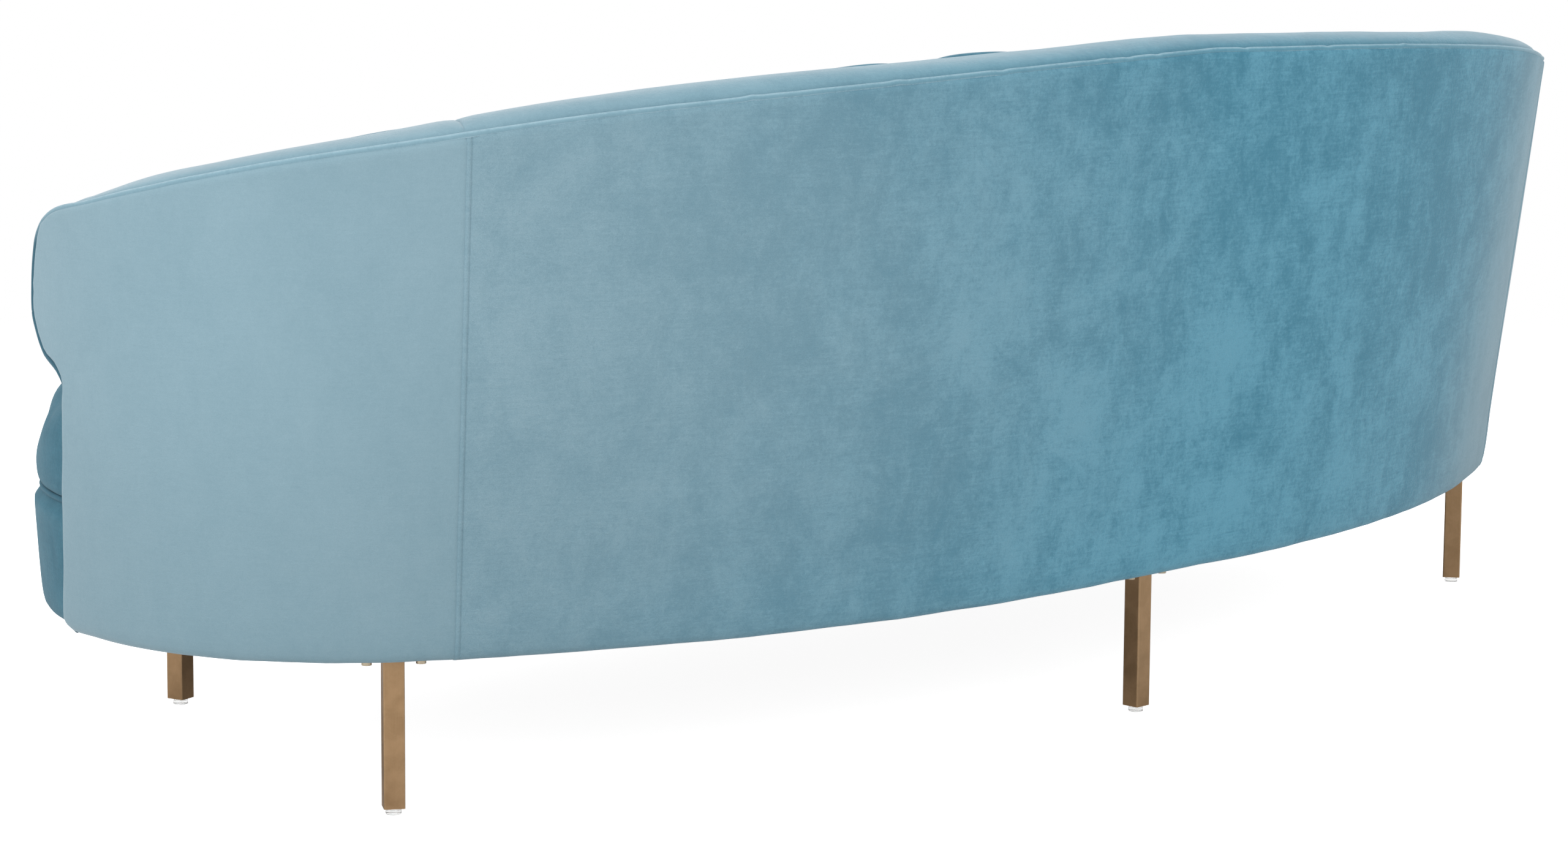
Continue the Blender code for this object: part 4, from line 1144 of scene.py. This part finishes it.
def seat():
    end_run = back_run - seat_end_gap
    ends = [wall(end_run, seat_line, inset) for inset in spread(0.0225, pad_inner, 6)[:-1]]
    runs = [end_run]
    while runs[-1] > 0.02:
        runs.append(runs[-1] - seat_column_step)
    runs[-1] = 0.0
    rear = ends + [wall(s, seat_line, pad_inner) for s in runs]
    shares = lengths_of([(p.x, p.y) for p in rear])[0]
    rows = [("rear", 0.0), ("margin", 0.0)]
    rows += [("top", k / 30) for k in range(1, 30)]
    rows += [("face", k) for k in range(len(face_profile))]
    rows += [("under", k / 12) for k in range(1, 13)]
    end_cover = nose_run(seat_line) + 0.003 - end_run + 0.008

    def column(i, mirror):
        start = rear[i]
        q = -seat_end_gap + (front_run + seat_end_gap) * shares[i]
        edge = front(q, seat_line, 0.004 + face_profile[0][0])
        if i < len(ends):
            reach = (edge - start).length
            margin = start.lerp(edge, min(end_cover / max(reach, 0.0001), 0.7))
            full = 0.0
        else:
            s = runs[i - len(ends)]
            margin = wall(s, seat_line, pad_inner + pad_depth_at(s) * pad_depths[0] + 0.019)
            full = ease(0.0, 9.0, i - len(ends))

        def place(row):
            kind, t = row
            if kind == "rear":
                spot = Vector((start.x, start.y, seat_line - seat_back_drop))
            elif kind == "margin":
                spot = Vector((margin.x, margin.y, seat_line - seat_back_drop))
            elif kind == "top":
                spot = margin.lerp(edge, t)
                spot.z = seat_line + (seat_top + 0.003 - seat_line) * crown_curve(t) * (0.25 + 0.75 * full)
                spot.z -= seat_back_drop * (1 - t)
            elif kind == "face":
                inset, drop = face_profile[t]
                top = seat_line + 0.0085 + 0.0020 * full
                spot = front(q, top - drop * (top - seat_low + 0.0010), 0.003 + inset)
            else:
                low = front(q, seat_low, 0.004 + face_profile[-1][0])
                spot = Vector((start.x, start.y, seat_low)).lerp(low, 1 - t)
            return Vector((spot.x * mirror, spot.y, spot.z))
        return place

    count = len(rear)
    columns = [column(i, 1.0) for i in range(count)] + [column(i, -1.0) for i in range(count - 2, -1, -1)]
    piece = laid_by_columns("seat_velvet", columns, rows)
    held = []
    for k in range(len(piece.data.vertices)):
        kind, t = rows[k // len(columns)]
        i = k % len(columns)
        near_end = min(i, len(columns) - 1 - i) < len(ends) + 2
        if near_end or kind in ("rear", "margin", "under") or (kind == "face" and t >= 11):
            held.append(k)
    close_seat(piece, len(columns), len(rows))
    blow_out(
        piece, held, 0.012, uniform_pressure_force=2.0, mass=0.4, tension_stiffness=20.0,
        compression_stiffness=15.0, bending_stiffness=0.8,
    )
    make_finer(piece)
    face_outwards(piece)
    bpy.ops.object.shade_smooth()
    finish_with(piece, front_velvet)
    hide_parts("seat_cushion")


# Covered front below the seat
def front_panel():
    start = nose_run(lower_edge + 0.07) - back_run - 0.012
    runs = spread(start, front_run, 96)
    top = seat_welt_height - 0.0022
    heights = [lower_edge + rise for inset, rise in hem_profile]
    heights += spread(lower_edge + hem_top, top - 0.012, 18)[1:]
    heights += [top - d for d in (0.009, 0.0062, 0.0038, 0.0018, 0.0)]
    fold_under = (0.014, 0.007, 0.0, 0.0, 0.0, 0.0)

    def place(q, row):
        side = -1.0 if q > front_run else 1.0
        run = q if side > 0 else 2 * front_run - q
        height = heights[row]
        rise = height - lower_edge
        inset = 1.2 * hem_profile[row][0] + fold_under[row] if row < len(hem_profile) else 0.0
        inset += 0.0045 * math.exp(-rise / 0.011)
        inset += 0.0062 - 0.0098 * ease(0.0, 0.014, top - height)
        lift = 0.0012 * soft_noise(q * 3.0, height * 4.0, 31.0)
        lift += 0.0005 * soft_noise(q * 11.0, height * 9.0, 32.0)
        lift += 0.0007 * soft_noise(q * 28.0, height * 5.0, 33.0) * math.exp(-(top - height) / 0.02)
        height += hem_wave(q) * (1 - ease(0.0, 0.03, rise))
        spot = front(run, height, inset - lift * ease(0.0, 0.006, rise))
        return Vector((spot.x * side, spot.y, spot.z))

    across = runs + [2 * front_run - q for q in reversed(runs[:-1])]
    piece = cut_cloth("front_velvet", across, range(len(heights)), place)
    give_thickness(piece, velvet_thickness, True)
    finish_with(piece, front_velvet)
    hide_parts("front_band")


# Sewing
def stitch_row(name, side, run, first, last, crooked):
    """Sunken stitches of dark thread, one after another down the seam."""
    start_fresh()
    length = 0.0046
    bpy.ops.mesh.primitive_uv_sphere_add(segments=8, ring_count=6, radius=1.0)
    stitch = bpy.context.object
    stitch.name = name
    edit("SELECT")
    bpy.ops.transform.resize(value=(0.00092, 0.00070, 0.00205))
    leave_edit()
    heading = plan_at(run)[2]
    tangent = Vector((side * math.cos(heading), -math.sin(heading), 0.0))
    places = []
    for k in range(int((last - first) / length)):
        turn_about = crooked * (1 if k % 2 else -1)
        height = first + (k + 0.5) * length
        s = side * (run + 0.0004 * turn_about + 0.00025 * soft_noise(height * 60.0, run, 41.0))
        lift = pull_relief(s, height, top_edge(s)) + max(seam_relief(s), -0.0004) + 0.0003
        low = wall(s, height - length / 2, -lift)
        high = wall(s, height + length / 2, -lift)
        lean = 0.10 * turn_about + 0.05 * soft_noise(height * 90.0, run, 42.0)
        upward = ((high - low).normalized() + tangent * lean).normalized()
        outward = tangent.cross(upward).normalized()
        across = upward.cross(outward).normalized()
        turn = Matrix((across, outward, upward)).transposed().to_4x4()
        places.append(Matrix.Translation((low + high) / 2) @ turn)
    repeat_at(stitch, places)
    face_outwards(stitch)
    bpy.ops.object.shade_smooth()
    finish_with(stitch, seam_thread)


def seam_stitches():
    first = lower_edge + 0.004
    last = top_edge(seam_run) - 0.005
    for side, word in ((1.0, "right"), (-1.0, "left")):
        stitch_row("seam_stitches_outer_" + word, side, seam_run - 0.0001, first, last, 0.5)
        stitch_row("seam_stitches_inner_" + word, side, seam_run - seam_width, first, last, 1.0)


# Bolts, glides and the cover underneath
def leg_spots():
    """Each glide's name and the place of its stem."""
    return [(joint["child"], Vector(joint["pos_m"])) for joint in frame["joints"]]


def leg_turn(word):
    """A leg stands square to the wall or the front that it is bolted under."""
    if "rear" in word:
        return 0.0
    heading = plan_at(side_leg_run)[2] if "side" in word else front_plan(front_leg_run)[2]
    return -heading if "right" in word else heading


bolt_reach = (0.0275, 0.011)
bolt_head_height = 0.1596
bolt_shank_height = 0.1765
bolt_plate_height = 0.1929
bolt_plate_size = (0.070, 0.038, 0.003, 1.0)


def bolt_head(name):
    """A cap head screw seen from below, with a hexagon socket."""
    start_fresh()
    bpy.ops.mesh.primitive_cylinder_add(vertices=30, radius=0.0052, depth=0.0058)
    head = bpy.context.object
    head.name = name
    edit_chosen(head, "polygons", lambda face: face.normal.z < -0.9)
    bpy.ops.mesh.bevel(offset=0.0005, segments=2)
    leave_edit()
    bpy.ops.mesh.primitive_cylinder_add(vertices=6, radius=0.0029, depth=0.005, location=(0, 0, -0.0029))
    socket = bpy.context.object
    cut = head.modifiers.new("socket", "BOOLEAN")
    cut.operation = "DIFFERENCE"
    cut.solver = "EXACT"
    cut.object = socket
    apply_all(head)
    bpy.data.objects.remove(socket, do_unlink=True)
    return head


def bolts():
    """Four screws through each leg's plate into the backing plate above the board."""
    for child, spot in leg_spots():
        word = child.replace("glide_", "")
        turn = Matrix.Translation((spot.x, spot.y, 0.0)) @ Matrix.Rotation(leg_turn(word), 4, "Z")
        parts = []
        for x in (-bolt_reach[0], bolt_reach[0]):
            for y in (-bolt_reach[1], bolt_reach[1]):
                head = bolt_head("bolt_heads_" + word)
                head.data.transform(turn @ Matrix.Translation((x, y, bolt_head_height)))
                bpy.ops.mesh.primitive_cylinder_add(vertices=20, radius=0.003, depth=0.0345)
                shank = bpy.context.object
                shank.data.transform(turn @ Matrix.Translation((x, y, bolt_shank_height)))
                parts += [head, shank]
        bpy.ops.mesh.primitive_cube_add(size=1.0)
        plate = bpy.context.object
        lifted = Matrix.Translation((0.0, 0.0, bolt_plate_height))
        plate.data.transform(turn @ lifted @ Matrix.Diagonal(bolt_plate_size))
        soften_edges(plate, 0.0005, 2)
        join(parts + [plate])
        piece = bpy.context.object
        piece.name = "bolts_" + word
        bpy.ops.object.shade_smooth_by_angle(angle=math.radians(32))
        finish_with(piece, bolt_metal)
        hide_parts("leg_bolts_" + word)


def glides():
    """Round levelling feet, turned from one profile."""
    for child, spot in leg_spots():
        start_fresh()
        bpy.ops.mesh.primitive_cylinder_add(vertices=48, radius=0.00825, depth=0.005)
        foot = bpy.context.object
        foot.name = child + "_clear"
        foot.data.transform(Matrix.Translation((0.0, 0.0, 0.0025)))
        edit_chosen(foot, "polygons", lambda face: face.normal.z > 0.9)
        for rise in (0.0017, 0.0195):
            bpy.ops.mesh.inset(thickness=0.0026)
            bpy.ops.mesh.extrude_region_move(TRANSFORM_OT_translate={"value": (0.0, 0.0, rise)})
        leave_edit()
        soften_edges(foot, 0.0009, 3)
        foot.data.transform(Matrix.Translation((spot.x, spot.y, 0.0)))
        take(foot)
        bpy.ops.object.shade_smooth_by_angle(angle=math.radians(40))
        finish_with(foot, glide_plastic, child)
        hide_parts(child)


cover_height = 0.1662
staple_height = 0.1652


def cover():
    """Non-woven cover stapled under the boards, with a turned edge."""
    rear = [wall(s, lower_edge, 0.017) for s in spread(back_run - 0.012, 0.0, 70)]
    shares = lengths_of([(p.x, p.y) for p in rear])[0]
    fronts = [front(front_run * share, lower_edge, 0.026) for share in shares]
    steps = [0.0, 0.004, 0.010, 0.018, 0.022] + spread(0.06, 0.94, 22) + [0.978, 0.982, 0.990, 0.996, 1.0]

    def place(i, t):
        k = i if i < len(rear) else 2 * len(rear) - 2 - i
        side = 1.0 if i < len(rear) else -1.0
        spot = rear[k].lerp(fronts[k], t)
        edge = min(t, 1 - t)
        turned = 0.0004 * (1 - ease(0.016, 0.022, edge))
        sag = 0.0021 * math.sin(math.pi * t) ** 0.6
        pucker = 0.0003 * soft_noise(spot.x * 40.0 * side, t * 3.0, 51.0) * math.exp(-edge / 0.05)
        return Vector((spot.x * side, spot.y, cover_height - turned - sag + pucker))

    piece = cut_cloth("cover_under", range(2 * len(rear) - 1), steps, place)
    give_thickness(piece, cover_thickness, False)
    finish_with(piece, cover_cloth)
    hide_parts("dust_cover")
    staples(rear, fronts)


def staples(rear, fronts):
    start_fresh()
    bpy.ops.mesh.primitive_cube_add(size=1.0)
    staple = bpy.context.object
    staple.name = "cover_staples"
    staple.data.transform(Matrix.Diagonal((0.0105, 0.0011, 0.0009, 1.0)))
    soften_edges(staple, 0.0003, 1)
    places = []
    for side in (1.0, -1.0):
        for line, other in ((rear, fronts), (fronts, rear)):
            for k in range(1, len(line) - 1, 2):
                middle = line[k].lerp(other[k], 0.010)
                step = line[k + 1] - line[k - 1]
                turn = Matrix.Rotation(math.atan2(step.y, step.x * side), 4, "Z")
                places.append(Matrix.Translation((middle.x * side, middle.y, staple_height)) @ turn)
    repeat_at(staple, places)
    finish_with(staple, staple_metal)


def dress_frame():
    """The frame's own pieces keep their solids and get their finishes."""
    finishes = {
        "plywood": board_wood, "webbing": web_cloth, "cambric": cover_cloth, "antique_brass": leg_brass,
        "zinc_steel": bolt_metal, "clear_plastic": glide_plastic, "velvet": back_velvet,
        "velvet_welt": welt_velvet, "foam": deck_foam,
    }
    slots = {entry["node"]: entry["material_slot"] for entry in frame["record"]["subparts"]}
    for name, slot in slots.items():
        node = bpy.data.objects.get(name)
        if node:
            node.data.materials.clear()
            node.data.materials.append(finishes[slot])


# Room
white = (1.0, 1.0, 1.0, 1.0)
floor_lift = 0.90
plain_level = 0.50
# Direction, where it starts and is full as a cosine, and strength of each soft wall of light
glows = (
    ((0.97, -0.12, 0.22), 0.10, 1.0, 0.26),
    ((0.45, 0.85, 0.25), 0.25, 1.0, 0.30),
    ((0.0, 0.0, 1.0), 0.20, 1.0, 0.80),
)


def floor():
    """Pale paper that keeps the shadow near the sofa and turns white further out."""
    start_fresh()
    bpy.ops.mesh.primitive_plane_add(size=60.0)
    paper = bpy.context.object
    paper.name = "floor"
    m = Maker("floor paper")
    distance = m.fed("ShaderNodeVectorMath", {0: m.place}, operation="LENGTH")
    away = m.ramp(distance.outputs["Value"], 1.6, 3.6)
    rays = m.add("ShaderNodeLightPath")
    seen = m.reckon("MAXIMUM", rays.outputs["Is Camera Ray"], rays.outputs["Is Transmission Ray"])
    m.set(Base_Color=(0.80, 0.80, 0.80, 1.0), Roughness=1.0, Specular_IOR_Level=0.0)
    glow = m.fed("ShaderNodeEmission", {"Color": white})
    lift = m.fed("ShaderNodeEmission", {"Color": white, "Strength": m.times(seen, floor_lift)})
    near = m.fed("ShaderNodeAddShader", {0: m.shader.outputs["BSDF"], 1: lift.outputs["Emission"]})
    shaders = {"Fac": m.times(away, seen), 1: near.outputs["Shader"], 2: glow.outputs["Emission"]}
    both = m.fed("ShaderNodeMixShader", shaders)
    m.put(m.tree.nodes["Material Output"], "Surface", both.outputs["Shader"])
    paper.data.materials.append(m.material)


def studio_light():
    world = bpy.data.worlds.new("studio")
    bpy.context.scene.world = world
    world.use_nodes = True
    tree = world.node_tree
    tree.nodes.clear()

    def node(kind, *values, operation=None):
        made = tree.nodes.new(kind)
        if operation:
            made.operation = operation
        for socket, value in zip(made.inputs, values):
            if isinstance(value, bpy.types.NodeSocket):
                tree.links.new(value, socket)
            else:
                socket.default_value = value
        return made

    way = tree.nodes.new("ShaderNodeTexCoord").outputs["Generated"]
    total = plain_level
    for direction, first, last, strength in glows:
        aim = Vector(direction).normalized()
        facing = node("ShaderNodeVectorMath", way, tuple(aim), operation="DOT_PRODUCT").outputs["Value"]
        soft = node("ShaderNodeMapRange", facing, first, last, 0.0, strength)
        soft.interpolation_type = "SMOOTHSTEP"
        total = node("ShaderNodeMath", total, soft.outputs["Result"], operation="ADD").outputs["Value"]
    rays = tree.nodes.new("ShaderNodeLightPath").outputs
    seen = node("ShaderNodeMath", rays["Is Camera Ray"], rays["Is Transmission Ray"], operation="MAXIMUM")
    ambient = node("ShaderNodeBackground", white, total).outputs["Background"]
    backdrop = node("ShaderNodeBackground", white, 1.0).outputs["Background"]
    mix = node("ShaderNodeMixShader", seen.outputs["Value"], ambient, backdrop)
    node("ShaderNodeOutputWorld", mix.outputs["Shader"])

    lamp("side softbox", (4.6, 0.2, 2.0), (0.9, 0.1, 0.4), (2.4, 2.0), 40.0)
    lamp("camera side fill", (1.2, 4.6, 2.6), (0.0, 0.2, 0.4), (3.0, 2.0), 25.0)


def lamp(name, place, target, size, energy):
    start_fresh()
    bpy.ops.object.light_add(type="AREA", location=place)
    light = bpy.context.object
    light.name = name
    light.data.shape = "RECTANGLE"
    light.data.size, light.data.size_y = size
    light.data.energy = energy
    aim = Vector(target) - Vector(place)
    light.rotation_euler = aim.to_track_quat("-Z", "Y").to_euler()


# The photo's frame, its focal length and the point its axis goes through, in its own pixels
photo_width = 2560
photo_height = 1376
focal_pixels = 6889.2
axis_x = 1235.3
axis_y = 671.3
camera_place = (3.652, 2.928 + plan_shift, 1.028)


def camera():
    yaw = math.radians(45.697)
    pitch = math.radians(8.359)
    roll = math.radians(0.368)
    level = Vector((-math.sin(yaw), -math.cos(yaw), 0.0))
    right = Vector((-math.cos(yaw), math.sin(yaw), 0.0))
    ahead = level * math.cos(pitch) - Vector((0.0, 0.0, math.sin(pitch)))
    up = right.cross(ahead)
    rolled = right * math.cos(roll) + up * math.sin(roll)
    upright = up * math.cos(roll) - right * math.sin(roll)
    bpy.ops.object.camera_add()
    view = bpy.context.object
    view.name = "photo camera"
    turn = Matrix((rolled, upright, -ahead)).transposed().to_4x4()
    view.matrix_world = Matrix.Translation(camera_place) @ turn
    view.data.sensor_width = 36.0
    view.data.lens = focal_pixels / photo_width * view.data.sensor_width
    view.data.shift_x = (photo_width / 2 - axis_x) / photo_width
    view.data.shift_y = -(photo_height / 2 - axis_y) / photo_width
    view.data.clip_end = 200.0
    bpy.context.scene.camera = view


camera()
floor()
studio_light()
dress_frame()
outside_back()
outside_arm("outside_arm_velvet_right", 1.0, "outside_arm_panel_right")
outside_arm("outside_arm_velvet_left", -1.0, "outside_arm_panel_left")
outer_welt()
borders()
inside_back()
inside_arm("inside_arm_velvet_right", 1.0, "inside_arm_pad_right")
inside_arm("inside_arm_velvet_left", -1.0, "inside_arm_pad_left")
arm_front_strip("arm_front_strip_right", 1.0)
arm_front_strip("arm_front_strip_left", -1.0)
seat()
seat_welt()
front_panel()
seam_stitches()
bolts()
glides()
cover()

bpy.context.scene.view_settings.view_transform = "Standard"
start_fresh()
